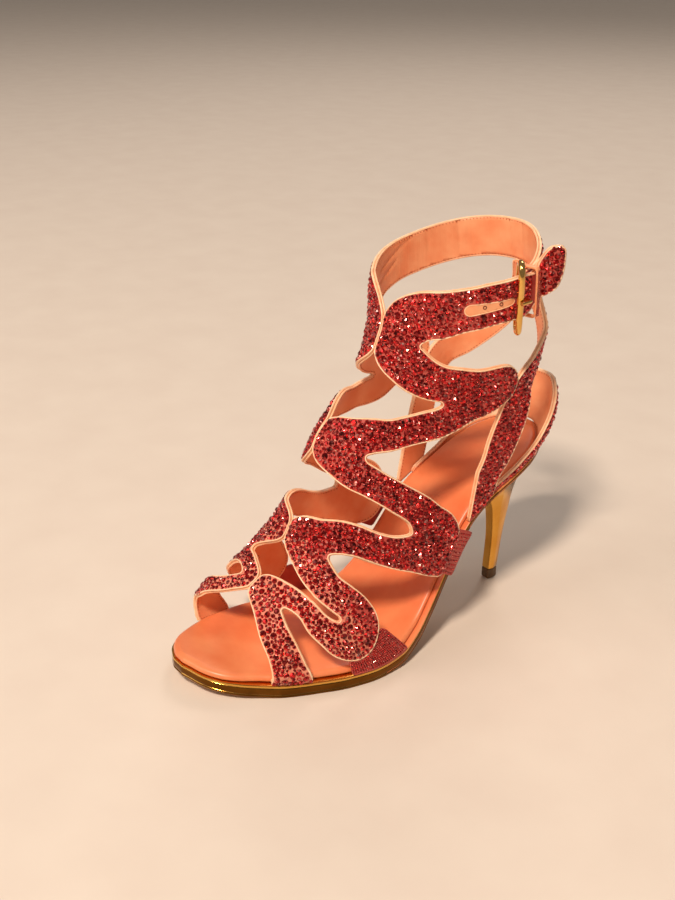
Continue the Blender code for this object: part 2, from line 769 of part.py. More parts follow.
def build_upper(item, collection):
    fill_mesh(item, *strap_sheet(strap_lines(1.5), (0.2, 10.6), (ROUND_END, 140), 1.3, 4.6, WEB, strap_lift))
    thicken(item, WALL)
    for side in (1, -1):
        strap = new_object("heel strap", collection)
        build_heel_strap(strap, side)
        join(item, strap)
        bpy.data.objects.remove(strap)
    counter = new_object("counter", collection)
    build_counter(counter)
    join(item, counter)
    bpy.data.objects.remove(counter)


def tube(item, path, radius, sides, closed):
    """Round wire along a path of points (mm)."""
    curve = bpy.data.curves.new("wire", "CURVE")
    curve.dimensions = "3D"
    curve.bevel_depth = radius * MM
    curve.bevel_resolution = max(0, sides // 4 - 1)
    curve.use_fill_caps = not closed
    line = curve.splines.new("POLY")
    line.points.add(len(path) - 1)
    for point, place in zip(line.points, path):
        point.co = (*(float(v) * MM for v in place), 1.0)
    line.use_cyclic_u = closed
    holder = bpy.data.objects.new("wire", curve)
    bpy.context.scene.collection.objects.link(holder)
    graph = bpy.context.evaluated_depsgraph_get()
    mesh = bpy.data.meshes.new_from_object(holder.evaluated_get(graph))
    bpy.data.objects.remove(holder)
    shape = bmesh.new()
    shape.from_mesh(mesh)
    bmesh.ops.remove_doubles(shape, verts=shape.verts, dist=1e-6)
    bmesh.ops.recalc_face_normals(shape, faces=shape.faces)
    shape.to_mesh(item.data)
    shape.free()
    bpy.data.meshes.remove(mesh)


def buckle_axes():
    """Places of the ring's free side and of its bar, and the strap's own up direction."""
    free = last_point(BUCKLE_STATION, RING_ANGLE) + last_normal(BUCKLE_STATION, RING_ANGLE) * (
        float(lift_at(RING_ANGLE)[0]) + GAP + BUCKLE_WIRE + RING_STANDS)
    bar = last_point(BUCKLE_STATION, BAR_ANGLE) + last_normal(BUCKLE_STATION, BAR_ANGLE) * (
        float(lift_at(BAR_ANGLE)[0]) - WALL - GAP - BUCKLE_WIRE - BAR_DROPS)
    up = last_point(BUCKLE_STATION + 0.1, RING_ANGLE) - last_point(BUCKLE_STATION - 0.1, RING_ANGLE)
    return free, bar, up / np.linalg.norm(up)


def build_buckle_frame(item):
    free, bar, up = buckle_axes()
    middle = (free + bar) / 2
    half = (free - bar) / 2
    path = []
    for k in range(28):
        turn_by = 2 * math.pi * k / 28
        c, s = math.cos(turn_by), math.sin(turn_by)
        squarish = 0.6
        path.append(middle + half * math.copysign(abs(c) ** squarish, c) + up * (
            BUCKLE_HIGH / 2 - BUCKLE_WIRE) * math.copysign(abs(s) ** squarish, s))
    tube(item, path, BUCKLE_WIRE, 12, True)


def build_buckle_prong(item):
    """Bent pin: hooked round the bar, up through the strap's hole and over the ring's free side."""
    free, bar, up = buckle_axes()
    outward = last_normal(BUCKLE_STATION, HOLE_ANGLE)
    forward = np.cross(outward, up)
    reach = BUCKLE_WIRE + GAP + PRONG_WIRE
    path = []
    for degrees in range(-100, -200, -20):
        path.append(bar + reach * (forward * -math.cos(math.radians(degrees))
                                   + outward * math.sin(math.radians(degrees))))
    over = free + outward * reach
    base = path[-1]
    rise = float(np.dot(over - base, outward))
    path.append(base + outward * (rise - 0.8))
    path.append(base + outward * rise + forward * 0.8)
    path.append(over + forward * 2.2)
    tube(item, path, PRONG_WIRE, 8, False)


def build_keeper(item):
    """Flat loop round both layers of the ankle strap."""
    station, angle = KEEPER_STATION, KEEPER_ANGLE
    normal = last_normal(station, angle)
    up = last_point(station + 0.1, angle) - last_point(station - 0.1, angle)
    up /= np.linalg.norm(up)
    along = np.cross(up, normal)
    middle = last_point(station, angle)
    inner, outer = -WALL - GAP - 0.3, float(lift_at(angle + 2.4)[0]) + GAP + 0.7
    half = 11.4
    rings = []
    for sign in (-1, 1):
        rings.append([middle + along * sign * KEEPER_WIDE / 2 + normal * n + up * h
                      for n, h in ((inner, -half), (inner, half), (outer, half), (outer, -half))])
    shape = bmesh.new()
    loops = [[shape.verts.new(Vector(map(float, p)) * MM) for p in ring] for ring in rings]
    for k in range(4):
        shape.faces.new((loops[0][k], loops[0][(k + 1) % 4], loops[1][(k + 1) % 4], loops[1][k]))
    bmesh.ops.recalc_face_normals(shape, faces=shape.faces)
    shape.to_mesh(item.data)
    shape.free()
    band = item.modifiers.new("wall", "SOLIDIFY")
    band.thickness = KEEPER_WALL * MM
    band.offset = 1.0
    apply_modifiers(item)


def plain_material(name, colour, roughness, metallic):
    """Principled material of one colour."""
    material = bpy.data.materials.new(name)
    material.use_nodes = True
    shader = material.node_tree.nodes["Principled BSDF"]
    shader.inputs["Base Color"].default_value = (*colour, 1.0)
    shader.inputs["Roughness"].default_value = roughness
    shader.inputs["Metallic"].default_value = metallic
    return material


def stand_over_origin(items):
    """Move every mesh so that the middle of the whole box is over the origin, on the floor."""
    low, high = Vector((9, 9, 9)), Vector((-9, -9, -9))
    for item in items:
        for vert in item.data.vertices:
            low = Vector(map(min, low, vert.co))
            high = Vector(map(max, high, vert.co))
    shift = Vector(((low.x + high.x) / 2, (low.y + high.y) / 2, low.z))
    for item in items:
        for vert in item.data.vertices:
            vert.co -= shift
    print("moved by", [round(v * 1000, 3) for v in shift], "box", [round(v * 1000, 2) for v in high - low])


def main():
    for item in list(bpy.data.objects):
        bpy.data.objects.remove(item)
    collection = bpy.data.collections.new("strappy_sandal")
    bpy.context.scene.collection.children.link(collection)
    gold = plain_material("plated gold", (0.83, 0.60, 0.24), 0.12, 1.0)
    leather = plain_material("salmon leather", (0.80, 0.28, 0.13), 0.45, 0.0)
    stones = plain_material("ruby strap leather", (0.45, 0.02, 0.04), 0.35, 0.0)
    rubber = plain_material("tread rubber", (0.05, 0.03, 0.02), 0.6, 0.0)
    brass = plain_material("antique brass", (0.66, 0.48, 0.18), 0.25, 1.0)
    makers = (
        ("outsole", build_outsole, gold),
        ("insole", build_insole, leather),
        ("upper", lambda item: build_upper(item, collection), stones),
        ("heel", build_heel, gold),
        ("heel_tip", build_heel_tip, rubber),
        ("buckle_frame", build_buckle_frame, brass),
        ("buckle_prong", build_buckle_prong, brass),
        ("keeper", build_keeper, leather),
    )
    items = []
    for name, maker, material in makers:
        item = new_object(name, collection)
        maker(item)
        item.data.materials.clear()
        item.data.materials.append(material)
        items.append(item)
    stand_over_origin(items)


main()
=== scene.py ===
"""Looks of the strappy evening sandal, the left shoe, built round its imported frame.

Shapes are worked out in the shoe's own millimetres: Y runs from the toe tip to
the heel, X is lateral and Z is up from the floor. to_frame turns them into the
metres of the frame.
"""

import copy
import math

import bmesh
import bpy
import numpy as np
from mathutils import Matrix, Vector
from mathutils.geometry import delaunay_2d_cdt
from mathutils.kdtree import KDTree


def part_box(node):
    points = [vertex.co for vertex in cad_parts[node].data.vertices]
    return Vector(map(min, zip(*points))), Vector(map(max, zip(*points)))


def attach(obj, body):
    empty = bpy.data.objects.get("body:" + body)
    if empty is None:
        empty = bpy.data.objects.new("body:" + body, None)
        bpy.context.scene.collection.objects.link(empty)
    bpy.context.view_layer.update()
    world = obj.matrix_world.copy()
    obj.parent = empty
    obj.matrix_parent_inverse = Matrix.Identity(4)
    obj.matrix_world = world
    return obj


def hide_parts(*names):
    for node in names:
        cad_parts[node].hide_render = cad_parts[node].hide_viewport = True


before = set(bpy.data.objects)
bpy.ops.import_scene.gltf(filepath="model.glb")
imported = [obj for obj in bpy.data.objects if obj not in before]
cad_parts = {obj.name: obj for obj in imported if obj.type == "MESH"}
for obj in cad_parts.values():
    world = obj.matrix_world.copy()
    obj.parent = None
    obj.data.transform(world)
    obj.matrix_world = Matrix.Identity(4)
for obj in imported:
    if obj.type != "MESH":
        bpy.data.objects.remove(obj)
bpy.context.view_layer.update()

MM = 0.001
SOLE_LENGTH = 214.0
GAP = 0.3
STRAP_SET_IN = 0.5
SEAM_OVERLAP = 0.9
HEEL_TIP_MIDDLE_Y = 191.3

# Layers of a strap, from the outer face of the wall inwards.
WALL = 2.2
OUTER_LEATHER = 1.05
LINING_FROM = 1.1

SOLE_ROWS = (
    # y, lateral x, medial x, top z, bottom z
    (0, -13, -13, 12.0, 6.0),
    (2, -5, -20.5, 11.6, 5.5),
    (4, 1.5, -24.8, 11.1, 4.9),
    (8, 8.3, -30, 10.2, 3.9),
    (17, 16.8, -37.6, 8.6, 2.1),
    (24, 21.3, -41.8, 7.7, 1.1),
    (36, 28.5, -45.5, 6.7, 0),
    (50, 34.5, -46, 6.5, 0),
    (65, 39.7, -44, 6.5, 0),
    (80, 41.8, -41, 6.5, 0),
    (95, 40.8, -36.2, 8.2, 1.6),
    (108, 37, -32, 13.5, 6.5),
    (120, 33.3, -28.8, 24.8, 17.5),
    (130, 31, -27, 38.5, 31),
    (142, 29, -26, 54.5, 49.2),
    (151, 28, -25.6, 63, 59.2),
    (160, 27.4, -25.6, 68, 65),
    (177, 27, -26.3, 75.5, 72.8),
    (189, 25.5, -25, 80.5, 77.8),
    (201, 20.5, -20.3, 85, 82.3),
    (208, 14.5, -14.5, 87.4, 84.7),
    (212, 8.3, -8.3, 88.8, 86.1),
    (214, 0, 0, 89.5, 86.8),
)

# Centre line over the toes, up the instep and the front of the ankle.
CREST_ROWS = (
    # station, x, y, z
    (0, -9.5, 27, 30),
    (1, -8.5, 36, 41),
    (2, -8, 45, 48),
    (3, -7, 60, 68),
    (4, -6, 69, 90),
    (5, -5, 79, 113),
    (6, -4, 93, 131),
    (7, -2, 104, 148),
    (8, 0, 109, 162),
    (9, 0, 111, 172),
    (10, 0, 113, 183),
    (11, 0, 115, 193),
)

# Sections of the last over the sole: how far each side swells past the sole.
FOOT_ROWS = (
    # station, y on the sole, lateral swell, medial swell, height of the swell, squareness
    (0, 22, 2.5, 0.5, 0.10, 2.4),
    (1, 36, 2.0, 0.5, 0.12, 2.3),
    (2, 54, 2.0, 0.5, 0.12, 2.2),
    (3, 80, 1.0, 0.5, 0.10, 2.1),
    (4, 106, 1.5, 1.5, 0.10, 2.0),
    (5, 128, 6.5, 4.5, 0.13, 2.0),
    (6, 152, 6.0, 5.0, 0.14, 2.0),
    (7, 182, 6.5, 6.0, 0.20, 2.0),
    (8, 200, 8.0, 8.0, 0.25, 2.0),
)

# Sections round the ankle: where each meets the back of the heel.
LEG_ROWS = (
    # station, y at the back, z at the back, lateral half width, medial half width
    (6, 186, 76, 33, 32),
    (7, 198, 92, 33, 32.5),
    (8, 208, 118, 35, 35),
    (9, 200, 160, 37, 37),
    (10, 196, 202, 38, 38),
    (11, 195, 225, 38.5, 38.5),
)
ANKLE_FROM = 6.5
ANKLE_TO = 7.8

# Charts of the straps: mm a station and mm a degree, and where straps go in at the sole.
CHART_SCALE = (20, 0.62)
FOOT_TO = 7.2
UNDER_SOLE_FROM = 200
SOLE_JOINT_ANGLE = 119.5
SHOWN_TO_ANGLE = 116.5
SEAM_REACH = 40
SEAM_GAP = 0.35

# Serpentine strap, one row for each fold or limb: angle is measured round the
# section from the crest; where the two straps meet it is the angle of the seam.
FOLD_ROWS = (
    # place, station, angle, width
    ("foot", 1.18, 140, 20),
    ("foot", 1.13, 101, 18),
    ("limb", 1.02, 73, 15),
    ("limb", 0.95, 48, 14),
    ("fold", 1.17, 26, 13),
    ("meet", 1.56, 1.5, 13.5),
    ("fold", 2.01, 27, 11),
    ("limb", 2.22, 46, 9.5),
    ("limb", 2.26, 58, 11.5),
    ("limb", 2.40, 68, 13.5),
    ("fold", 2.54, 74, 16.5),
    ("fold", 2.79, 79, 16.5),
    ("fold", 3.06, 74, 15.5),
    ("limb", 3.08, 64, 14.5),
    ("limb", 2.94, 56, 15),
    ("limb", 2.80, 45, 14.5),
    ("limb", 2.79, 33, 16),
    ("fold", 2.86, 24, 17),
    ("meet", 3.03, 1, 16),
    ("fold", 3.36, 26, 16.5),
    ("limb", 3.72, 37, 15.5),
    ("limb", 3.95, 45, 14.5),
    ("limb", 4.20, 55, 14),
    ("limb", 4.47, 65, 15.5),
    ("fold", 4.77, 74, 19),
    ("fold", 5.17, 89, 20.5),
    ("fold", 5.31, 83, 21.5),
    ("limb", 5.26, 76, 20.5),
    ("limb", 5.28, 71, 17),
    ("limb", 5.13, 56, 14.5),
    ("limb", 4.94, 41, 14.5),
    ("limb", 4.83, 31, 16),
    ("fold", 4.85, 25, 18.5),
    ("meet", 4.99, -5, 23),
    ("fold", 5.27, 21, 19.5),
    ("limb", 5.57, 31, 16.5),
    ("limb", 5.84, 40, 14.5),
    ("limb", 6.17, 47, 14),
    ("limb", 6.52, 54, 14.5),
    ("limb", 6.81, 60, 14.5),
    ("fold", 7.11, 68, 15),
    ("fold", 7.48, 83, 19),
    ("fold", 7.66, 90, 20.5),
    ("limb", 7.49, 73, 17.5),
    ("limb", 7.36, 60, 17),
    ("limb", 7.24, 51, 18),
    ("limb", 7.19, 43, 19),
    ("fold", 7.25, 32, 20.5),
    ("meet", 7.58, 1, 20.5),
    ("meet", 8.00, 1, 20.5),
    ("fold", 8.52, 22, 23.5),
    ("limb", 8.91, 32, 23),
    ("limb", 9.04, 44, 22.5),
)

# The medial strap is narrower where it folds over the toes; these take the place of
# the third to the eighth row above.
MEDIAL_TOE_ROWS = (
    # place, station, angle, width
    ("limb", 0.95, 73, 14.5),
    ("limb", 0.68, 50, 11),
    ("fold", 0.66, 30, 8.5),
    ("fold", 1.05, 10.5, 8.5),
    ("meet", 1.62, 1.5, 9),
    ("fold", 2.08, 14, 8.5),
    ("limb", 2.24, 30, 8.5),
    ("limb", 2.26, 46, 9.5),
)

# The medial serpentine climbs a little higher above the third seam.
MEDIAL_RISE_ROWS = (
    # station, rise
    (0, 0),
    (5.1, 0),
    (5.6, 0.26),
    (6.2, 0.2),
    (6.9, 0),
    (9.2, 0),
)

# The lateral ankle strap ends in a pointed tail that lifts off the strap below.
TAIL_ROWS = (
    # station, angle, width
    (9.17, 54, 21),
    (9.26, 65, 20.5),
    (9.35, 77, 20),
    (9.40, 91, 20),
    (9.41, 98, 20),
    (9.46, 103, 15.5),
    (9.48, 108.5, 10.5),
    (9.68, 113, 7),
    (10.05, 115.5, 4),
)
LIFT_FROM = 8.3
LIFT_OVER = 0.5
LIFT_ROWS = (
    # angle, lift off the last
    (58, 0),
    (72, 1.0),
    (88, 3.0),
    (104, 3.1),
    (110.5, 4.2),
    (113, 7.5),
    (116, 12.0),
    (119, 15.0),
)

# The medial ankle strap goes on round the back to the bar of the buckle.
ROUND_ROWS = (
    # station, angle, width
    (9.26, -54, 21),
    (9.40, -66, 20.5),
    (9.49, -80, 20),
    (9.54, -94, 20),
    (9.61, -115, 20),
    (9.67, -140, 20),
    (9.69, -165, 20),
    (9.67, -195, 20),
    (9.57, -220, 20),
    (9.45, -245, 20),
    (9.41, -265, 20),
)
ROUND_END = -257
UNDER_TAIL = -240

# Tabs that tie the side bends to the sole.
TAB_ROWS = (
    # station at the bend, angle at the bend, width there, station on the sole, width there
    (2.98, 80, 23, 3.10, 34),
    (5.20, 88, 23, 5.45, 15),
)
TAB_FEET = (
    # stands out from the sole's edge, hangs below its top
    (0.2, 0.0),
    (3.8, 3.0),
)
TAB_DROPS = 0.9
TAB_BULGE = 0.7
TAB_THICK = 1.2
TAB_STONE = 1.12
TAB_STONE_SINK = 0.03
TAB_STONE_CLEAR = 0.9
TAB_ROW_PITCH = 1.3
TAB_STONE_PITCH = 1.15

# Slot in the stones of the ankle strap, where the holes for the prong lie.
SLOT_FROM = (9.24, 62)
SLOT_TO = (9.38, 88)
SLOT_WIDE = 5.4
SLOT_NARROW = 3.2
SLOT_HOLES = ((9.31, 71), (9.36, 81))
SLOT_HOLE_WIDE = 1.5
SLOT_HOLE_RIM = 0.22
SLOT_PROUD = 0.18
SLOT_THICK = 0.3
SLOT_EDGE = 0.3

# Lateral heel strap, from inside the back of the ankle strap down to the waist.
HEEL_STRAP_ROWS = (
    # x, y, z, width, direction it faces in plan (degrees from lateral to back)
    (8.5, 195, 187, 11, 76),
    (10.5, 199, 168, 11, 72),
    (16.5, 202, 146, 11.5, 60),
    (25.5, 187.5, 133, 13, 36),
    (31, 176.5, 127.5, 15.5, 10),
    (32.5, 171, 120.5, 17, -3),
    (32.5, 167, 110.5, 17.5, -8),
    (31.5, 163.5, 100, 17.5, -8),
    (30.5, 160.5, 90.5, 16.5, -4),
    (29, 157.5, 83, 15.5, 0),
)
MEDIAL_HEEL_STRAP_TOP = (
    # x, y, z, width, direction, as above; they take the place of its first three rows
    (-6, 193, 187, 11, 93),
    (-1.5, 199, 168, 11, 85),
    (13, 203, 149, 11.5, 66),
)
HEEL_STRAP_FOOT_Y = 153.5
HEEL_STRAP_STANDS = 1.1
HEEL_STRAP_TUCK = 7.0
HEEL_STRAP_CHART = 10.5

# Counter: height of its top edge round the heel seat, and its lean outwards.
COUNTER_ROWS = (
    # y along the seat, height, lean
    (152, 3.0, 0.0),
    (170, 3.5, 0.3),
    (187, 6.5, 1.6),
    (199, 11.5, 3.6),
    (207, 18.0, 6.2),
    (211.5, 23.0, 8.2),
    (213.4, 26.0, 9.0),
)
COUNTER_BULGE = 1.9

# Heel: a six-sided column, the breast in front and a narrow strip at the back.
HEEL_ROWS = (
    # z, front y, widest y, back y, half width in front, widest, at the back
    (60, 176, 189, 204.5, 7.5, 10, 3.6),
    (50, 185, 193, 202, 3.8, 4.8, 2.3),
    (40, 188, 193, 200, 2.9, 3.5, 2.0),
    (26, 188.8, 192.5, 197.4, 2.6, 3.1, 1.8),
    (6.3, 187.8, 191, 194.8, 2.6, 3.1, 1.8),
)
HEEL_SEAT = (167, 186, 208, 22, 22.5, 8.5)
HEEL_LIP = (169, 186.5, 207.5, 18, 19.5, 7)
HEEL_LIP_DROP = 5.0
HEEL_EDGE = 0.35
HEEL_TIP_HIGH = 6.0

# Insole and platform: rim from the flat top outwards and down.
INSOLE_THICK = 3.2
INSOLE_EDGE_ROWS = (
    # y, in from the edge of the sole
    (0, 1.0),
    (8, 1.0),
    (26, 2.9),
    (214, 2.9),
)
INSOLE_STANDS = 0.55
INSOLE_CROWN = 0.5
RIM_WIDE = 3.0
SHANK_FROM_Y = 84.0
# Share of the sole's thickness down from its top, below which the side takes the gold darkened by a painted
# reflection of shadow.
DARK_REFLECTION_FROM = 0.21

# Numbers of the sole's materials, and of the cut edge's on a strap.
TREAD, SOCK, DARK_REFLECTION_SIDE = 1, 2, 3
CUT_EDGE = 2
INSOLE_RIM = (
    # out from the flat top, share of the thickness down
    (0.9, 0.03),
    (1.7, 0.12),
    (2.35, 0.27),
    (2.8, 0.5),
    (3.0, 0.72),
    (2.85, 0.92),
    (2.5, 1.0),
    (0.0, 1.0),
)
PLATFORM_RIM = (
    # out from the flat top, share of the thickness down
    (2.55, 0.0),
    (2.85, 0.02),
    (3.0, 0.07),
    (3.0, 0.17),
    (2.86, 0.2),
    (2.72, 0.22),
    (2.86, 0.24),
    (2.96, 0.3),
    (3.0, 0.5),
    (2.96, 0.7),
    (2.86, 0.76),
    (2.72, 0.78),
    (2.86, 0.8),
    (2.98, 0.84),
    (2.98, 0.92),
    (2.8, 0.98),
    (2.5, 1.0),
    (0.0, 1.0),
)

# Edges and stones of the straps.
CORD_THICK = 0.7
CORD_PROUD = 0.22
LINING_EDGE_THICK = 1.1
EDGE_STANDS = 0.25
INNER_CORNER = 1.0
STONE_MARGIN = 0.55
STONE_SINK = 0.06
STONE_GAP = 0.04

# Stones are set a little apart over the toes, up to this station, and close together elsewhere.
STONE_CLOSE = 1.1
STONE_TOE = 1.06
TOE_TO = 2.95

# The tail's surface is drawn out beyond the last from this angle on.
TAIL_STRETCH = 0.9
TAIL_FROM = 109
TAIL_OVER = 4

# How the stones are strewn and cut.
STONE_COVER = 0.74
STONE_MIX = (
    # diameter, share of the stones
    (3.3, 0.16),
    (2.8, 0.24),
    (2.3, 0.30),
    (1.8, 0.18),
    (1.4, 0.12),
)
JOSTLES = 84
PAIR_EVERY = 6
STONE_SWELL = 0.4
STONE_OVERLAP = 0.14
FILL_TRIES = 24000
STONE_TILT = 0.17
STONE_TABLE = 0.46
STONE_CROWN = 0.44
STONE_GIRDLE = 0.16

# Stitches along the lining's edge and fine folds across it.
STITCH_LONG = 0.8
STITCH_PITCH = 1.75
STITCH_THICK = 0.5
STITCH_IN = 0.8
FOLD_PITCH = 3.2

# Soft folds pressed into the ankle strap's lining by the way the strap bends.
CREASE_ROWS = (
    # from station, from angle, to station, to angle, half width, depth
    (9.45, -57, 9.85, -92, 0.8, 0.8),
    (9.15, -56, 9.50, -77, 0.7, 0.6),
    (10.25, -104, 9.55, -107, 0.9, 0.5),
    (10.25, -128, 9.45, -131, 1.0, 0.55),
    (10.25, -170, 9.60, -172, 0.9, 0.5),
    (10.20, -184, 9.50, -187, 0.8, 0.5),
)

# Buckle and keeper on the ankle strap.
BUCKLE_STATION = 9.40
BUCKLE_HIGH = 36.0
BUCKLE_WIRE = 1.6
RING_SQUARE = 0.6
RING_ANGLE = 90.5
RING_STANDS = 1.5
BAR_ANGLE = 99.5
BAR_DROPS = 0.3
PRONG_WIRE = 0.9
HOLE_ANGLE = 95.3
HOLE_WIDE = 3.6
KEEPER_STATION = 9.42
KEEPER_ANGLE = 107.0
KEEPER_WIDE = 3.0
KEEPER_WALL = 1.2
KEEPER_HALF = 11.4
KEEPER_SQUARE = 0.28
KEEPER_BARE = 1.0
KEEPER_STONE = 0.85
KEEPER_STONE_PITCH = 0.95
KEEPER_STONE_ROWS = (-0.9, 0, 0.9)

# Where the photograph was taken from, in the shoe's millimetres and in radians.
IMAGE_WIDE = 675
IMAGE_HIGH = 900
CAMERA_PLACE = (416.305, -224.784, 340.386)
CAMERA_YAW = 0.931183
CAMERA_PITCH = 0.425799
CAMERA_ROLL = 0.008975
CAMERA_FOCAL_PIXELS = 1199.74

tip_low, tip_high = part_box("heel_tip")
tip_middle = (tip_low + tip_high) / 2 / MM
SHIFT = np.array([-tip_middle.x, HEEL_TIP_MIDDLE_Y - tip_middle.y, 0.0])


def to_frame(places):
    """The shoe's millimetres as metres of the frame."""
    return (np.asarray(places, float) - SHIFT) * MM


def unit(vectors):
    """Vectors of length one."""
    return vectors / np.maximum(np.linalg.norm(vectors, axis=-1, keepdims=True), 1e-12)


def smooth_step(share):
    """Soft step from nought to one."""
    share = np.clip(share, 0, 1)
    return share * share * (3 - 2 * share)


def spline(rows):
    """Monotone cubic through the rows of a table, the first column being the key."""
    data = np.array(rows, float)
    xs, ys = data[:, 0], data[:, 1:]
    step = np.diff(xs)[:, None]
    slope = np.diff(ys, axis=0) / step
    tangent = np.zeros_like(ys)
    tangent[0], tangent[-1] = slope[0], slope[-1]
    ahead = 2 * step[1:] + step[:-1]
    behind = step[1:] + 2 * step[:-1]
    same = slope[:-1] * slope[1:] > 0
    one, two = np.where(same, slope[:-1], 1), np.where(same, slope[1:], 1)
    tangent[1:-1] = np.where(same, (ahead + behind) / np.where(same, ahead / one + behind / two, 1), 0)

    def at(x):
        x = np.clip(np.asarray(x, float), xs[0], xs[-1])
        i = np.clip(np.searchsorted(xs, x, side="right") - 1, 0, len(xs) - 2)
        width = xs[i + 1] - xs[i]
        t = ((x - xs[i]) / width)[..., None]
        width = width[..., None]
        y = ((1 + 2 * t) * (1 - t) ** 2 * ys[i] + t * (1 - t) ** 2 * width * tangent[i]
             + t * t * (3 - 2 * t) * ys[i + 1] + t * t * (t - 1) * width * tangent[i + 1])
        return np.moveaxis(y, -1, 0)

    return at


def turn(y):
    """Even parameter along the sole that rounds its two ends."""
    return np.arccos(np.clip(1 - 2 * np.asarray(y, float) / SOLE_LENGTH, -1, 1)) / np.pi


outline_at = spline([(float(turn(row[0])), row[1], row[2]) for row in SOLE_ROWS])
profile_at = spline([(row[0], row[3], row[4]) for row in SOLE_ROWS])
crest_at = spline(CREST_ROWS)
foot_at = spline(FOOT_ROWS)
leg_at = spline(LEG_ROWS)
lift_at = spline(LIFT_ROWS)
rise_at = spline(MEDIAL_RISE_ROWS)


def last_point(station, angle):
    """Point of the last at a station, by the angle round the section from the crest."""
    station, angle = np.broadcast_arrays(np.asarray(station, float), np.asarray(angle, float))
    angle = np.where(angle < -180, angle + 360, angle)
    side = np.where(angle >= 0, 1.0, -1.0)
    round_by = np.abs(angle)
    sine, cosine = np.sin(np.radians(round_by)), np.cos(np.radians(round_by))
    crest_x, crest_y, crest_z = crest_at(station)
    sole_y, swell_lateral, swell_medial, low, power = foot_at(station)
    lateral, medial = outline_at(turn(sole_y))
    floor_z = profile_at(sole_y)[0] + GAP
    edge = np.where(side > 0, lateral - STRAP_SET_IN, -medial - STRAP_SET_IN)
    wide = edge + np.where(side > 0, swell_lateral, swell_medial)
    drop = np.clip((round_by - 90) / 30, 0, 1)
    under = np.clip((round_by - 120) / 60, 0, 1)
    out = np.where(round_by <= 90, wide * np.abs(sine) ** (2 / power),
                   (wide + (edge - wide) * drop ** 1.6) * (1 - under))
    up = np.where(round_by <= 90, low + (1 - low) * np.maximum(cosine, 0) ** (2 / power), low * (1 - drop))
    foot = np.stack([side * out + crest_x * up, sole_y + (crest_y - sole_y) * up,
                     floor_z + (crest_z - floor_z) * up], -1)
    back_y, back_z, half_lateral, half_medial = leg_at(station)
    half = np.where(side > 0, half_lateral, half_medial)
    up = 0.5 + 0.5 * cosine
    leg = np.stack([side * half * sine + crest_x * up, back_y + (crest_y - back_y) * up,
                    back_z + (crest_z - back_z) * up], -1)
    share = smooth_step((station - ANKLE_FROM) / (ANKLE_TO - ANKLE_FROM))[..., None]
    return foot * (1 - share) + leg * share


def last_normal(station, angle):
    """Outward normal of the last."""
    along = last_point(station + 0.02, angle) - last_point(station - 0.02, angle)
    across = last_point(station, angle + 0.5) - last_point(station, angle - 0.5)
    return unit(np.cross(across, along))


def strap_lift(station, angle):
    """The lateral ankle strap lies over the end of the medial one."""
    over = np.clip((station - LIFT_FROM) / LIFT_OVER, 0, 1)
    return np.where(angle > 0, lift_at(angle)[0] * over, 0.0)


def strap_point(station, angle):
    """Outer face of the straps."""
    return last_point(station, angle) + last_normal(station, angle) * strap_lift(station, angle)[..., None]


def strap_normal(station, angle):
    """Outward normal of the straps, with the tail's own slope."""
    along = strap_point(station + 0.02, angle) - strap_point(station - 0.02, angle)
    across = strap_point(station, angle + 0.5) - strap_point(station, angle - 0.5)
    return unit(np.cross(across, along))


def smooth_line(rows, run, fine):
    """Cubic through rows at the distances of run, read at the distances of fine."""
    tangent = np.gradient(rows, run, axis=0)
    i = np.clip(np.searchsorted(run, fine, side="right") - 1, 0, len(run) - 2)
    width = (run[i + 1] - run[i])[:, None]
    t = ((fine - run[i])[:, None]) / width
    return ((1 + 2 * t) * (1 - t) ** 2 * rows[i] + t * (1 - t) ** 2 * width * tangent[i]
            + t * t * (3 - 2 * t) * rows[i + 1] + t * t * (t - 1) * width * tangent[i + 1])


def run_of(places):
    """Distance along a line of places."""
    return np.concatenate([[0], np.cumsum(np.linalg.norm(np.diff(places, axis=0), axis=1))])


def read_along(run, rows, at):
    """Places or directions read at distances along a run."""
    return np.stack([np.interp(at, run, rows[:, k]) for k in range(3)], -1)


def soften(loop, times):
    """Round off a closed line of places a little, a few times over."""
    for _ in range(times):
        loop = (np.roll(loop, 1, axis=0) + 2 * loop + np.roll(loop, -1, axis=0)) / 4
    return loop


def squared(value, power):
    """A sine or cosine to a power that keeps its sign, to square off a round."""
    return math.copysign(abs(value) ** power, value)


def draw_line(points, spacing):
    """Smooth line through rows of (station, angle, width), sampled evenly on the last."""
    rows = np.array(points, float)
    run = run_of(last_point(rows[:, 0], rows[:, 1]))
    fine = np.linspace(0, run[-1], max(4, int(run[-1] / spacing)) + 1)
    return smooth_line(rows, run, fine)


def fold_line(side):
    """Rows of the serpentine on one side, with the folds that meet set out from the crest."""
    rows = []
    folds = FOLD_ROWS if side > 0 else FOLD_ROWS[:2] + MEDIAL_TOE_ROWS + FOLD_ROWS[8:]
    for place, station, angle, width in folds:
        if place == "meet":
            per_degree = np.linalg.norm(last_point(station, side * 14.0) - last_point(station, 0.0)) / 14
            angle = side * angle + (width / 2 - SEAM_OVERLAP) / per_degree
        rise = float(rise_at(station)[0]) if side < 0 else 0.0
        rows.append((station + rise, side * angle, width))
    return rows


def line_field(line, station, angle):
    """Distance in mm outside the band that a line of (station, angle, width) draws on the last."""
    flat = last_point(station, angle).reshape(-1, 3)
    here = np.asarray(angle, float).reshape(-1)
    best = np.full(len(flat), 1e9)
    for spot, row in zip(last_point(line[:, 0], line[:, 1]), line):
        close = np.flatnonzero(np.abs(here - row[1]) < 75)
        gap = np.linalg.norm(flat[close] - spot, axis=1) - row[2] / 2
        best[close] = np.minimum(best[close], gap)
    return best.reshape(np.shape(station))


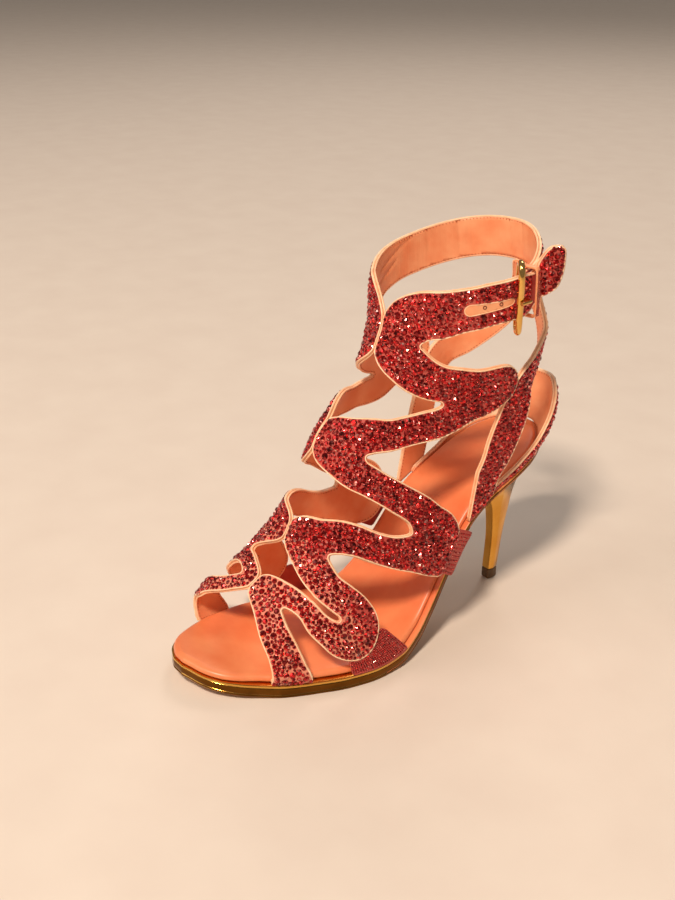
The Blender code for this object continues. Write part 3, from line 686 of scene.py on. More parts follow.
def clip_at_sole(field, station, angle):
    """End the straps where they go in between sole and insole."""
    places = last_point(station, angle)
    above = places[..., 2] - GAP - profile_at(places[..., 1])[0]
    on_foot = (station < FOOT_TO) & (np.abs(angle) < UNDER_SOLE_FROM)
    field = np.where(on_foot, np.maximum(field, (np.abs(angle) - SOLE_JOINT_ANGLE) * 0.6), field)
    return np.maximum(field, -above - 0.01)


class Cover:
    """A leather surface with two coordinates of its own and a field, in mm outside its edge."""

    def __init__(self, point, normal, field, first, last, scale, step, hidden):
        self.point = point
        self.normal = normal
        self.scale = np.array(scale, float)
        self.hidden = hidden
        self.us = np.arange(first[0], last[0], step / scale[0])
        self.vs = np.arange(first[1], last[1], step / scale[1])
        self.grid = field(*np.meshgrid(self.us, self.vs, indexing="ij"))
        self.close_border()

    def close_border(self):
        """Keep the border of the chart outside the leather, so that every outline closes."""
        self.grid[[0, -1], :] = np.maximum(self.grid[[0, -1], :], 0.5)
        self.grid[:, [0, -1]] = np.maximum(self.grid[:, [0, -1]], 0.5)

    def field(self, u, v):
        """The field read between the samples of its grid."""
        i = np.clip((u - self.us[0]) / (self.us[1] - self.us[0]), 0, len(self.us) - 1.001)
        j = np.clip((v - self.vs[0]) / (self.vs[1] - self.vs[0]), 0, len(self.vs) - 1.001)
        low_i, low_j = i.astype(int), j.astype(int)
        s, t = i - low_i, j - low_j
        grid = self.grid
        return ((1 - s) * (1 - t) * grid[low_i, low_j] + s * (1 - t) * grid[low_i + 1, low_j]
                + (1 - s) * t * grid[low_i, low_j + 1] + s * t * grid[low_i + 1, low_j + 1])

    def trimmed(self, extra):
        """The same cover cut back by another field of its chart."""
        other = copy.copy(self)
        other.grid = np.maximum(self.grid, extra(*np.meshgrid(self.us, self.vs, indexing="ij")))
        return other

    def stretched(self, factor):
        """The same cover with its field in longer mm where its surface is drawn out."""
        other = copy.copy(self)
        other.grid = self.grid * factor(*np.meshgrid(self.us, self.vs, indexing="ij"))
        return other

    def slopes(self, chart):
        """How a place moves with each chart coordinate, in mm a unit."""
        u, v = chart[:, 0], chart[:, 1]
        du, dv = 0.1 / self.scale
        by_u = (self.point(u + du, v) - self.point(u - du, v)) / (2 * du)
        by_v = (self.point(u, v + dv) - self.point(u, v - dv)) / (2 * dv)
        return by_u, by_v

    def layer(self, chart, depth):
        """Places of chart points, sunk below the outer face by depth (one, or one a point)."""
        u, v = chart[:, 0], chart[:, 1]
        return self.point(u, v) - self.normal(u, v) * np.reshape(depth, (-1, 1))


def contour_loops(field, xs, ys):
    """Closed outlines where a field on a grid crosses zero."""
    crossing, links = {}, {}

    def cut(a, b):
        key = (a, b) if a < b else (b, a)
        if key not in crossing:
            va, vb = field[a], field[b]
            t = va / (va - vb)
            crossing[key] = (xs[a[0]] + (xs[b[0]] - xs[a[0]]) * t, ys[a[1]] + (ys[b[1]] - ys[a[1]]) * t)
        return key

    inside = field < 0
    mixed = inside[:-1, :-1].astype(int) + inside[1:, :-1] + inside[1:, 1:] + inside[:-1, 1:]
    for i, j in zip(*np.where((mixed > 0) & (mixed < 4))):
        corners = [(i, j), (i + 1, j), (i + 1, j + 1), (i, j + 1)]
        cuts = [cut(corners[k], corners[(k + 1) % 4]) for k in range(4)
                if inside[corners[k]] != inside[corners[(k + 1) % 4]]]
        for k in range(0, len(cuts), 2):
            links.setdefault(cuts[k], []).append(cuts[k + 1])
            links.setdefault(cuts[k + 1], []).append(cuts[k])
    loops, used = [], set()
    for start in links:
        if start in used:
            continue
        loop, here = [start], start
        used.add(start)
        while True:
            onward = [key for key in links[here] if key not in used]
            if not onward:
                break
            here = onward[0]
            used.add(here)
            loop.append(here)
        loops.append(np.array([crossing[key] for key in loop]))
    return loops


def tree_of(places):
    """Search tree of places."""
    tree = KDTree(len(places))
    for number, place in enumerate(places):
        tree.insert(place, number)
    tree.balance()
    return tree


def round_inner_corners(cover):
    """Fill the inner corners of a strap's outline with arcs: grown by the radius, then shrunk back."""
    loops = np.concatenate(contour_loops(cover.grid - INNER_CORNER, cover.us, cover.vs))
    tree = tree_of(last_point(loops[:, 0], loops[:, 1]))
    i, j = np.nonzero(np.abs(cover.grid) < INNER_CORNER)
    for row, column, place in zip(i, j, last_point(cover.us[i], cover.vs[j])):
        away = tree.find(place)[2]
        cover.grid[row, column] = min(cover.grid[row, column], INNER_CORNER - away)
    cover.close_border()


def outlines(cover, level, spacing):
    """Even, softened outlines of a cover, set in from its edge by level mm."""
    loops = []
    for loop in contour_loops(cover.grid + level, cover.us, cover.vs):
        if len(loop) < 8:
            continue
        closed = np.vstack([loop, loop[:1]])
        run = run_of(cover.point(closed[:, 0], closed[:, 1]))
        count = max(10, int(round(run[-1] / spacing)))
        fine = np.linspace(0, run[-1], count, endpoint=False)
        even = np.stack([np.interp(fine, run, closed[:, k]) for k in range(2)], -1)
        loops.append(soften(even, 3))
    return loops


def shown_stretches(cover, loop):
    """Split an outline into the stretches that show, each with whether it is a whole loop."""
    keep = ~cover.hidden(loop[:, 0], loop[:, 1])
    if keep.all():
        return [(loop, True)]
    if not keep.any():
        return []
    start = int(np.flatnonzero(~keep)[0])
    loop, keep = np.roll(loop, -start, axis=0), np.roll(keep, -start)
    stretches, current = [], []
    for spot, shows in zip(loop, keep):
        if shows:
            current.append(spot)
        elif len(current) > 3:
            stretches.append((np.array(current), False))
            current = []
        else:
            current = []
    if len(current) > 3:
        stretches.append((np.array(current), False))
    return stretches


def inside_loops(points, loops):
    """Which points are inside the outlines, a loop inside another being a hole."""
    inside = np.zeros(len(points), bool)
    x, y = points[:, 0], points[:, 1]
    for loop in loops:
        for (ax, ay), (bx, by) in zip(loop, np.roll(loop, -1, axis=0)):
            if ay != by:
                inside ^= ((ay > y) != (by > y)) & (x < ax + (y - ay) * (bx - ax) / (by - ay))
    return inside


def cut_sheet(cover, spacing):
    """Cut a cover out along its edge: chart points and triangles facing out."""
    points, edges, loops = [], [], outlines(cover, 0.0, spacing)
    for loop in loops:
        first = len(points)
        points.extend(map(tuple, loop))
        edges.extend((first + k, first + (k + 1) % len(loop)) for k in range(len(loop)))
    step = spacing / cover.scale
    for odd, u in enumerate(np.arange(cover.us[0], cover.us[-1], step[0] * 0.87)):
        row = np.arange(cover.vs[0] + (odd % 2) * step[1] / 2, cover.vs[-1], step[1])
        inner = row[cover.field(np.full(len(row), u), row) < -0.6 * spacing]
        points.extend((u, v) for v in inner)
    flat = [Vector((u * cover.scale[0], v * cover.scale[1])) for u, v in points]
    spots, _, faces, *_ = delaunay_2d_cdt(flat, edges, [], 0, 1e-5)
    chart = np.array([(p.x, p.y) for p in spots]) / cover.scale
    faces = np.array([face for face in faces if len(face) == 3])
    faces = faces[inside_loops(chart[faces].mean(axis=1), loops)]
    used = np.unique(faces)
    renumber = np.full(len(chart), -1)
    renumber[used] = np.arange(len(used))
    chart, faces = chart[used], renumber[faces]
    places = cover.point(chart[:, 0], chart[:, 1])
    one, two, three = places[faces[:, 0]], places[faces[:, 1]], places[faces[:, 2]]
    outward = cover.normal(chart[:, 0], chart[:, 1])[faces[:, 0]]
    facing = (np.cross(two - one, three - one) * outward).sum()
    return chart, faces if facing > 0 else faces[:, ::-1]


def hex_colour(code):
    """sRGB hex as linear red, green, blue and alpha."""
    parts = [int(code[k:k + 2], 16) / 255 for k in (1, 3, 5)]
    return (*[v / 12.92 if v <= 0.04045 else ((v + 0.055) / 1.055) ** 2.4 for v in parts], 1.0)


def new_piece(name, mesh):
    """Object at the origin that holds a finished mesh."""
    item = bpy.data.objects.new(name, mesh)
    bpy.context.scene.collection.objects.link(item)
    return item


def mesh_of(name, places, faces):
    """Mesh of places in the shoe's millimetres."""
    mesh = bpy.data.meshes.new(name)
    mesh.from_pydata(to_frame(places).tolist(), [], np.asarray(faces).tolist())
    mesh.update()
    return mesh


def piece_of(name, shape, sharp_degrees):
    """Object from a bmesh in metres, smooth except at edges sharper than the angle."""
    mesh = bpy.data.meshes.new(name)
    bmesh.ops.recalc_face_normals(shape, faces=shape.faces)
    shape.to_mesh(mesh)
    shape.free()
    mesh.shade_smooth()
    mesh.set_sharp_from_angle(angle=math.radians(sharp_degrees))
    return new_piece(name, mesh)


def dress(item, materials, replaced=()):
    """Give a piece its materials, its body and the nodes it stands for."""
    for material in materials:
        item.data.materials.append(material)
    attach(item, "root")
    if replaced:
        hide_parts(*replaced)
    return item


def crease_depths(cover, chart):
    """How far the folds of CREASE_ROWS push each chart point of a cover."""
    places = cover.point(chart[:, 0], chart[:, 1])
    depths = np.zeros(len(chart))
    for first_u, first_v, last_u, last_v, half, depth in CREASE_ROWS:
        away = np.full(len(chart), 99.0)
        for spot in cover.point(np.linspace(first_u, last_u, 24), np.linspace(first_v, last_v, 24)):
            away = np.minimum(away, np.linalg.norm(places - spot, axis=1))
        depths += depth * np.exp(-(away / half) ** 2)
    return depths


def leather_layer(name, cover, chart, faces, depth, thick):
    """One layer of leather of a cover, with its chart as the UV map in metres."""
    mesh = mesh_of(name, cover.layer(chart, depth), faces)
    mesh.shade_smooth()
    uv = mesh.uv_layers.new(name="chart")
    corners = np.zeros(len(mesh.loops), int)
    mesh.loops.foreach_get("vertex_index", corners)
    uv.data.foreach_set("uv", (chart * cover.scale * MM)[corners].astype(np.float32).ravel())
    item = new_piece(name, mesh)
    solid = item.modifiers.new("thickness", "SOLIDIFY")
    solid.thickness = thick * MM
    solid.offset = -1.0
    solid.material_offset_rim = CUT_EDGE
    return item


def tubes(name, paths, radius, sides):
    """Round cords along paths of (places in mm, whether closed), as one mesh."""
    curve = bpy.data.curves.new(name, "CURVE")
    curve.dimensions = "3D"
    curve.bevel_depth = radius * MM
    curve.bevel_resolution = sides // 2 - 2
    curve.use_fill_caps = True
    for places, closed in paths:
        line = curve.splines.new("POLY")
        line.points.add(len(places) - 1)
        line.points.foreach_set("co", np.c_[to_frame(places), np.ones(len(places))].ravel())
        line.use_cyclic_u = bool(closed)
    holder = bpy.data.objects.new(name, curve)
    bpy.context.scene.collection.objects.link(holder)
    graph = bpy.context.evaluated_depsgraph_get()
    mesh = bpy.data.meshes.new_from_object(holder.evaluated_get(graph))
    bpy.data.objects.remove(holder)
    bpy.data.curves.remove(curve)
    mesh.name = name
    mesh.shade_smooth()
    return new_piece(name, mesh)


def edge_paths(cover, level, depth, spacing):
    """Paths along the shown edges of a cover, set in by level and sunk by depth."""
    paths = []
    for loop in outlines(cover, level, spacing):
        for stretch, closed in shown_stretches(cover, loop):
            paths.append((cover.layer(stretch, depth), closed))
    return paths


def cut_stone(sides):
    """Round flat-backed stone of unit radius: a flat table, a faceted crown and a girdle."""
    shape = bmesh.new()
    bmesh.ops.create_cone(shape, cap_ends=True, segments=sides, radius1=1.0, radius2=STONE_TABLE,
                          depth=STONE_CROWN)
    top = [vert for vert in shape.verts if vert.co.z > 0]
    bmesh.ops.rotate(shape, verts=top, cent=(0, 0, 0), matrix=Matrix.Rotation(math.pi / sides, 3, "Z"))
    bmesh.ops.translate(shape, verts=shape.verts, vec=(0, 0, STONE_CROWN / 2 + STONE_GIRDLE))
    base = [face for face in shape.faces if face.normal.z < -0.9]
    grown = bmesh.ops.extrude_face_region(shape, geom=base)["geom"]
    foot = [part for part in grown if isinstance(part, bmesh.types.BMVert)]
    bmesh.ops.translate(shape, verts=foot, vec=(0, 0, -STONE_GIRDLE))
    bmesh.ops.delete(shape, geom=[face for face in base if face.is_valid], context="FACES_ONLY")
    bmesh.ops.triangulate(shape, faces=shape.faces)
    bmesh.ops.recalc_face_normals(shape, faces=shape.faces)
    places = np.array([vert.co for vert in shape.verts])
    faces = np.array([[vert.index for vert in face.verts] for face in shape.faces])
    shape.free()
    # The operators leave the faces in any order; sorted, each run gives the same stones.
    order = np.lexsort(np.round(places, 4).T)
    faces = np.argsort(order)[faces]
    faces = np.array(sorted(np.roll(face, -int(np.argmin(face))).tolist() for face in faces))
    places = places[order]
    tables = places[faces][..., 2].min(axis=1) > STONE_CROWN + STONE_GIRDLE - 0.01
    return places, faces, tables


def set_stones(name, centres, normals, diameters, stone, seed):
    """One joined mesh of many stones, each with its own turn, tilt and tint, and painted light on its facets.
    """
    places, faces, tables = stone
    rng = np.random.default_rng(seed)
    count = len(centres)
    normals = unit(normals + rng.normal(0, STONE_TILT, (count, 3)))
    aside = unit(np.cross(normals, np.where(np.abs(normals[:, 2:]) < 0.9, (0, 0, 1), (1, 0, 0))))
    beside = np.cross(normals, aside)
    spin = rng.uniform(0, 2 * np.pi, (count, 1))
    along = aside * np.cos(spin) + beside * np.sin(spin)
    across = np.cross(normals, along)
    radius = (np.asarray(diameters) / 2)[:, None, None]
    local = places[None] * radius
    spots = (centres[:, None] + local[..., :1] * along[:, None] + local[..., 1:2] * across[:, None]
             + local[..., 2:] * normals[:, None])
    indices = faces[None] + (np.arange(count) * len(places))[:, None, None]
    mesh = mesh_of(name, spots.reshape(-1, 3), indices.reshape(-1, 3))
    # Each stone's facets get random values on the finish's ramp, from painted dark reflection to painted pink
    # glint; tables stay in the darker half, as painted dark reflection.
    facet_painted_light = rng.uniform(0, 1, (count, len(faces)))
    facet_painted_light = np.where(tables[None], rng.uniform(0.0, 0.55, (count, 1)), facet_painted_light)
    tint = np.repeat(rng.uniform(0, 1, count), len(faces))
    mesh.attributes.new("facet_painted_light", "FLOAT", "FACE").data.foreach_set("value", facet_painted_light.ravel())
    mesh.attributes.new("tint", "FLOAT", "FACE").data.foreach_set("value", tint)
    return new_piece(name, mesh)


def close_pairs(places, reach):
    """Numbers of the places that lie within reach of each other, each pair once."""
    tree = tree_of(places)
    pairs = [(number, other) for number, place in enumerate(places)
             for _, other, _ in tree.find_range(place, reach) if other > number]
    return np.array(pairs).reshape(-1, 2).T


def jostle(cover, chart, radius, swell, one, two):
    """Push stones that touch when swollen apart, and off the cover's edge, each a little way."""
    u, v = chart[:, 0], chart[:, 1]
    places = cover.point(u, v)
    apart = places[one] - places[two]
    away = np.maximum(np.linalg.norm(apart, axis=1), 1e-6)
    press = 0.45 * np.maximum((radius[one] + radius[two]) * swell + STONE_GAP - away, 0)
    push = apart * (press / away)[:, None]
    move = np.zeros_like(places)
    np.add.at(move, one, push)
    np.add.at(move, two, -push)
    by_u, by_v = cover.slopes(chart)
    uu, uv, vv = (by_u * by_u).sum(1), (by_u * by_v).sum(1), (by_v * by_v).sum(1)
    size = np.maximum(uu * vv - uv * uv, 1e-9)[:, None]

    def steps(along, across):
        return np.stack([vv * along - uv * across, uu * across - uv * along], -1) / size

    du, dv = 0.4 / cover.scale
    rise_u = (cover.field(u + du, v) - cover.field(u - du, v)) / (2 * du)
    rise_v = (cover.field(u, v + dv) - cover.field(u, v - dv)) / (2 * dv)
    outward = steps(rise_u, rise_v)
    steep = np.maximum(outward[:, 0] * rise_u + outward[:, 1] * rise_v, 0.2)
    over = np.clip(cover.field(u, v) + STONE_MARGIN + radius, 0, 1)
    return chart + steps((by_u * move).sum(1), (by_v * move).sum(1)) - outward * (over / steep)[:, None]


def fill_gaps(cover, chart, radius, cells, area, rng):
    """Set more stones, the largest first, wherever one still fits."""
    step = (cover.us[1] - cover.us[0], cover.vs[1] - cover.vs[0])
    for size, _ in STONE_MIX:
        reach = size / 2
        tries = cells[rng.choice(len(cells), FILL_TRIES, p=area / area.sum())]
        tries = tries + rng.uniform(0, 1, (FILL_TRIES, 2)) * step
        tries = tries[cover.field(tries[:, 0], tries[:, 1]) + reach < -STONE_MARGIN]
        tree = tree_of(cover.point(chart[:, 0], chart[:, 1]))
        fresh, taken = [], np.zeros((0, 3))
        for spot, place in zip(tries, cover.point(tries[:, 0], tries[:, 1])):
            near = tree.find_range(place, reach + radius[0] + STONE_GAP)
            clear = all(away > reach + radius[other] + STONE_GAP for _, other, away in near)
            if clear and (np.linalg.norm(taken - place, axis=1) > size + STONE_GAP).all():
                fresh.append(spot)
                taken = np.vstack([taken, place])
        if fresh:
            chart, radius = np.vstack([chart, fresh]), np.append(radius, np.full(len(fresh), reach))
    return chart, radius


def pack_stones(cover, seed):
    """Stones of mixed sizes strewn on a cover and jostled until they lie side by side."""
    rng = np.random.default_rng(seed)
    step = np.array([cover.us[1] - cover.us[0], cover.vs[1] - cover.vs[0]])
    i, j = np.nonzero(cover.grid[:-1, :-1] < -STONE_MARGIN)
    cells = np.stack([cover.us[i], cover.vs[j]], -1)
    by_u, by_v = cover.slopes(cells)
    area = np.linalg.norm(np.cross(by_u, by_v), axis=1) * step.prod()
    sizes, shares = np.array(STONE_MIX).T
    count = int(STONE_COVER * area.sum() / (shares * np.pi / 4 * sizes ** 2).sum())
    radius = np.sort(rng.choice(sizes, count, p=shares))[::-1] / 2
    chart = cells[rng.choice(len(cells), count, p=area / area.sum())] + rng.uniform(0, 1, (count, 2)) * step
    for number in range(JOSTLES):
        swell = 1 + STONE_SWELL * max(0.0, 1 - 1.6 * number / JOSTLES)
        if number % PAIR_EVERY == 0:
            one, two = close_pairs(cover.point(chart[:, 0], chart[:, 1]), 2 * radius[0] * swell + 1)
        chart = jostle(cover, chart, radius, swell, one, two)
    places = cover.point(chart[:, 0], chart[:, 1])
    keep = cover.field(chart[:, 0], chart[:, 1]) + radius < -STONE_MARGIN + 0.3
    one, two = close_pairs(places, 2 * radius[0])
    tight = np.linalg.norm(places[one] - places[two], axis=1) < radius[one] + radius[two] - STONE_OVERLAP
    for larger, smaller in zip(one[tight], two[tight]):
        if keep[larger]:
            keep[smaller] = False
    chart, radius = fill_gaps(cover, chart[keep], radius[keep], cells, area, rng)
    return chart, 2 * radius


def stone_piece(name, cover, seed, stone, material, wide_to):
    """Cover a leather surface with stones, close together except below wide_to."""
    chart, sizes = pack_stones(cover, seed)
    u, v = chart[:, 0], chart[:, 1]
    sizes = sizes * (STONE_TOE + (STONE_CLOSE - STONE_TOE) * np.clip((u - wide_to) / 0.5 + 0.5, 0, 1))
    normals = cover.normal(u, v)
    item = set_stones(name, cover.point(u, v) - normals * STONE_SINK, normals, sizes, stone, seed + 50)
    return dress(item, [material])


def stitches(name, paths, material):
    """Short raised stitches along paths of (places, outward normals)."""
    shape = bmesh.new()
    bmesh.ops.create_icosphere(shape, subdivisions=1, radius=0.5)
    places = np.array([vert.co for vert in shape.verts]) * (STITCH_LONG, STITCH_THICK, STITCH_THICK)
    faces = np.array([[vert.index for vert in face.verts] for face in shape.faces])
    shape.free()
    spots, indices = [], []
    for line, normals in paths:
        run = run_of(line)
        for at in np.arange(STITCH_PITCH / 2, run[-1] - STITCH_PITCH / 2, STITCH_PITCH):
            ends = [read_along(run, line, at + d) for d in (-STITCH_LONG / 2, STITCH_LONG / 2)]
            k = min(int(np.searchsorted(run, at)), len(line) - 1)
            along = unit(ends[1] - ends[0])
            across = unit(np.cross(normals[k], along))
            up = np.cross(along, across)
            indices.append(faces + len(spots) * len(places))
            spots.append((ends[0] + ends[1]) / 2 + places @ np.array([along, across, up]))
    item = new_piece(name, mesh_of(name, np.concatenate(spots), np.concatenate(indices)))
    item.data.shade_smooth()
    return dress(item, [material])


def wrapped_grid(places, closed_rows, closed_columns):
    """Bmesh of a grid laid through places[row, column], welded where it closes on itself."""
    rows, columns = places.shape[0] - 1 + closed_rows, places.shape[1] - 1 + closed_columns
    spots = to_frame(places)
    shape = bmesh.new()
    bmesh.ops.create_grid(shape, x_segments=rows, y_segments=columns, size=1.0)
    for vert in shape.verts:
        i = round((vert.co.x + 1) / 2 * rows) % places.shape[0]
        j = round((vert.co.y + 1) / 2 * columns) % places.shape[1]
        vert.co = spots[i, j]
    bmesh.ops.remove_doubles(shape, verts=shape.verts, dist=1e-7)
    return shape


def close_ends(shape):
    """Fill the open ends of a tube-like bmesh."""
    rims = [edge for edge in shape.edges if edge.is_boundary]
    bmesh.ops.holes_fill(shape, edges=rims, sides=0)


def add(tree, kind, inputs=None, stops=(), **settings):
    """Add a shader node with its settings, its inputs (values or sockets to link) and its colour stops."""
    made = tree.nodes.new(kind)
    for name, value in settings.items():
        setattr(made, name, value)
    for name, value in (inputs or {}).items():
        if isinstance(value, bpy.types.NodeSocket):
            tree.links.new(value, made.inputs[name])
        else:
            made.inputs[name].default_value = value
    for number, (place, code) in enumerate(stops):
        ends = {0: 0, len(stops) - 1: -1}
        elements = made.color_ramp.elements
        element = elements[ends[number]] if number in ends else elements.new(place)
        element.position = place
        element.color = hex_colour(code)
    return made


def start_material(name):
    """Material with an empty node tree."""
    material = bpy.data.materials.new(name)
    material.use_nodes = True
    material.node_tree.nodes.clear()
    return material, material.node_tree


def stone_finish(name):
    """Cut and polished glass on foil: each stone its own red, its facets spread from a painted dark
    reflection through the glass's own reds to a painted pink glint.
    """
    material, tree = start_material(name)
    facet_painted_light = add(tree, "ShaderNodeAttribute", attribute_name="facet_painted_light")
    tint = add(tree, "ShaderNodeAttribute", attribute_name="tint")
    # Ramp of the facets: the darkest red is a painted reflection of dark surroundings and the pale pink is a
    # painted glint; the reds between are the glass's own.
    faces = add(tree, "ShaderNodeValToRGB", {"Fac": facet_painted_light.outputs["Fac"]},
                [(0.0, "#580408"), (0.25, "#a80b10"), (0.55, "#dc181e"), (0.82, "#fa5850"), (1.0, "#ffd0c4")])
    stones = add(tree, "ShaderNodeValToRGB", {"Fac": tint.outputs["Fac"]},
                 [(0.0, "#a87070"), (0.5, "#ffffff"), (1.0, "#ffece0")])
    mixed = add(tree, "ShaderNodeMix", {"Factor": 1.0, 6: faces.outputs["Color"], 7: stones.outputs["Color"]},
                data_type="RGBA", blend_type="MULTIPLY")
    shader = add(tree, "ShaderNodeBsdfPrincipled",
                 {"Base Color": mixed.outputs[2], "Metallic": 0.85, "Roughness": 0.12, "IOR": 1.6,
                  "Coat Weight": 0.4, "Coat Roughness": 0.04})
    add(tree, "ShaderNodeOutputMaterial", {"Surface": shader.outputs["BSDF"]})
    return material


def leather_finish(name, low, high, patch_mm, pore_mm, pore_deep, smooth, rough, coat=0.0, fold_deep=0.0):
    """Leather or another matt skin: soft patches of colour, pores that break the gloss, fine folds across."""
    material, tree = start_material(name)
    coords = add(tree, "ShaderNodeTexCoord")
    patches = add(tree, "ShaderNodeTexNoise",
                  {"Vector": coords.outputs["Object"], "Scale": 1 / (patch_mm * MM), "Detail": 4.0})
    colour = add(tree, "ShaderNodeValToRGB", {"Fac": patches.outputs["Fac"]}, [(0.3, low), (0.7, high)])
    pores = add(tree, "ShaderNodeTexNoise",
                {"Vector": coords.outputs["Object"], "Scale": 1 / (pore_mm * MM), "Detail": 4.0})
    gloss = add(tree, "ShaderNodeMapRange",
                {"Value": pores.outputs["Fac"], "To Min": smooth, "To Max": rough})
    relief = add(tree, "ShaderNodeBump",
                 {"Height": pores.outputs["Fac"], "Distance": pore_deep * MM, "Strength": 0.5})
    if fold_deep:
        across = add(tree, "ShaderNodeMapping", {"Vector": coords.outputs["UV"], "Scale": (0.12, 1.0, 1.0)})
        folds = add(tree, "ShaderNodeTexNoise",
                    {"Vector": across.outputs["Vector"], "Scale": 1 / (FOLD_PITCH * MM), "Detail": 2.0})
        relief = add(tree, "ShaderNodeBump",
                     {"Height": folds.outputs["Fac"], "Distance": fold_deep * MM, "Strength": 0.45,
                      "Normal": relief.outputs["Normal"]})
    shader = add(tree, "ShaderNodeBsdfPrincipled",
                 {"Base Color": colour.outputs["Color"], "Roughness": gloss.outputs["Result"], "IOR": 1.45,
                  "Coat Weight": coat, "Coat Roughness": 0.3, "Normal": relief.outputs["Normal"]})
    add(tree, "ShaderNodeOutputMaterial", {"Surface": shader.outputs["BSDF"]})
    return material


def metal_finish(name, low, high, smooth, rough):
    """Bright metal: a mirror that handling has dulled in patches, very slightly uneven."""
    material, tree = start_material(name)
    coords = add(tree, "ShaderNodeTexCoord")
    patches = add(tree, "ShaderNodeTexNoise",
                  {"Vector": coords.outputs["Object"], "Scale": 1 / (16.0 * MM), "Detail": 5.0})
    colour = add(tree, "ShaderNodeValToRGB", {"Fac": patches.outputs["Fac"]}, [(0.3, low), (0.7, high)])
    wear = add(tree, "ShaderNodeTexNoise",
               {"Vector": coords.outputs["Object"], "Scale": 1 / (3.0 * MM), "Detail": 6.0})
    gloss = add(tree, "ShaderNodeMapRange",
                {"Value": wear.outputs["Fac"], "To Min": smooth, "To Max": rough})
    swells = add(tree, "ShaderNodeTexNoise",
                 {"Vector": coords.outputs["Object"], "Scale": 1 / (7.0 * MM), "Detail": 2.0})
    relief = add(tree, "ShaderNodeBump",
                 {"Height": swells.outputs["Fac"], "Distance": 0.05 * MM, "Strength": 0.3})
    shader = add(tree, "ShaderNodeBsdfPrincipled",
                 {"Base Color": colour.outputs["Color"], "Metallic": 1.0,
                  "Roughness": gloss.outputs["Result"], "Normal": relief.outputs["Normal"]})
    add(tree, "ShaderNodeOutputMaterial", {"Surface": shader.outputs["BSDF"]})
    return material


def sole_outline(inset):
    """Lateral and medial x by y, of the sole's outline set in by inset(y)."""
    ys = SOLE_LENGTH * (1 - np.cos(np.pi * np.linspace(0, 1, 500))) / 2
    lateral, medial = outline_at(turn(ys))
    loop = soften(np.concatenate([np.c_[lateral, ys], np.c_[medial, ys][-2:0:-1]]), 4)
    along = unit(np.roll(loop, -1, axis=0) - np.roll(loop, 1, axis=0))
    inward = np.c_[-along[:, 1], along[:, 0]]
    inner = loop + inward * np.array([inset(y) for y in loop[:, 1]])[:, None]
    tip, back = int(np.argmin(inner[:, 1])), int(np.argmax(inner[:, 1]))

    def stretch(first, last):
        return np.roll(inner, -first, axis=0)[:(last - first) % len(inner) + 1]

    return stretch(tip, back), stretch(back, tip)[::-1]


def sole_slab(inset, rim, stands, thick, crown, rows, columns):
    """Slab with the sole's outline: a grid for its top, a rim extruded round it, and its underside."""
    outer_side, inner_side = sole_outline(inset)
    first, last = outer_side[0, 1], outer_side[-1, 1]
    ys = first + (last - first) * (1 - np.cos(np.pi * np.linspace(0.03, 0.97, rows + 1))) / 2
    lateral = np.interp(ys, *outer_side[np.argsort(outer_side[:, 1])][:, ::-1].T)
    medial = np.interp(ys, *inner_side[np.argsort(inner_side[:, 1])][:, ::-1].T)
    share = np.linspace(0, 1, columns + 1)[None]
    x = medial[:, None] + (lateral - medial)[:, None] * share
    y = np.repeat(ys[:, None], columns + 1, axis=1)
    pad = crown * (4 * share * (1 - share)) ** 0.7 * np.ones_like(y)
    top = np.stack([x, y, profile_at(y)[0] + stands + pad], -1)
    under = np.stack([x, y, profile_at(y)[0] + stands - thick(y)], -1)
    shape = wrapped_grid(top, 0, 0)
    edges = [edge for edge in shape.edges if edge.is_boundary]
    middle = to_frame(top[rows // 2, columns // 2])
    start = {}
    for edge in edges:
        for vert in edge.verts:
            start.setdefault(vert, []).append(edge.other_vert(vert))
    home = {vert: vert.co.copy() for vert in start}
    out = {}
    for vert, (one, two) in start.items():
        run = two.co - one.co
        side = Vector((run.y, -run.x, 0)).normalized()
        if side.dot(Vector((vert.co.x - middle[0], (vert.co.y - middle[1]) * 0.35, 0))) < 0:
            side = -side
        out[vert] = side
    for reach, drop in rim:
        grown = bmesh.ops.extrude_edge_only(shape, edges=edges)["geom"]
        fresh = [part for part in grown if isinstance(part, bmesh.types.BMVert)]
        edges = [part for part in grown if isinstance(part, bmesh.types.BMEdge) and part.is_boundary]
        new_home, new_out = {}, {}
        for vert in fresh:
            old = min(home, key=lambda other: (other.co - vert.co).length_squared)
            new_home[vert], new_out[vert] = home[old], out[old]
        for vert in fresh:
            spot = new_home[vert] + new_out[vert] * reach * MM
            y_mm = spot.y / MM + SHIFT[1]
            spot.z = (float(profile_at(y_mm)[0]) + stands - drop * float(thick(y_mm))) * MM
            vert.co = spot
        home, out = new_home, new_out
    floor = wrapped_grid(under, 0, 0)
    bmesh.ops.reverse_faces(floor, faces=floor.faces)
    spare = bpy.data.meshes.new("underside")
    floor.to_mesh(spare)
    floor.free()
    shape.from_mesh(spare)
    bpy.data.meshes.remove(spare)
    bmesh.ops.remove_doubles(shape, verts=shape.verts, dist=2e-5)
    return shape


def heel_ring(front, widest, back, half_front, half_widest, half_back, height):
    """Six-sided ring of the heel; height is a number or a function of y."""
    corners = ((-half_front, front), (half_front, front), (half_widest, widest), (half_back, back),
               (-half_back, back), (-half_widest, widest))
    return [(x, y, height(y) if callable(height) else height) for x, y in corners]


def faceted_column(name, rings, edge):
    """Closed column through six-sided rings with its long edges eased."""
    shape = wrapped_grid(np.array(rings, float), 0, 1)
    close_ends(shape)
    bmesh.ops.recalc_face_normals(shape, faces=shape.faces)
    keen = [e for e in shape.edges if len(e.link_faces) == 2 and e.calc_face_angle() > math.radians(14)]
    bmesh.ops.bevel(shape, geom=keen, offset=edge * MM, offset_type="OFFSET", affect="EDGES", segments=2,
                    profile=0.5, material=-1)
    return piece_of(name, shape, 25)


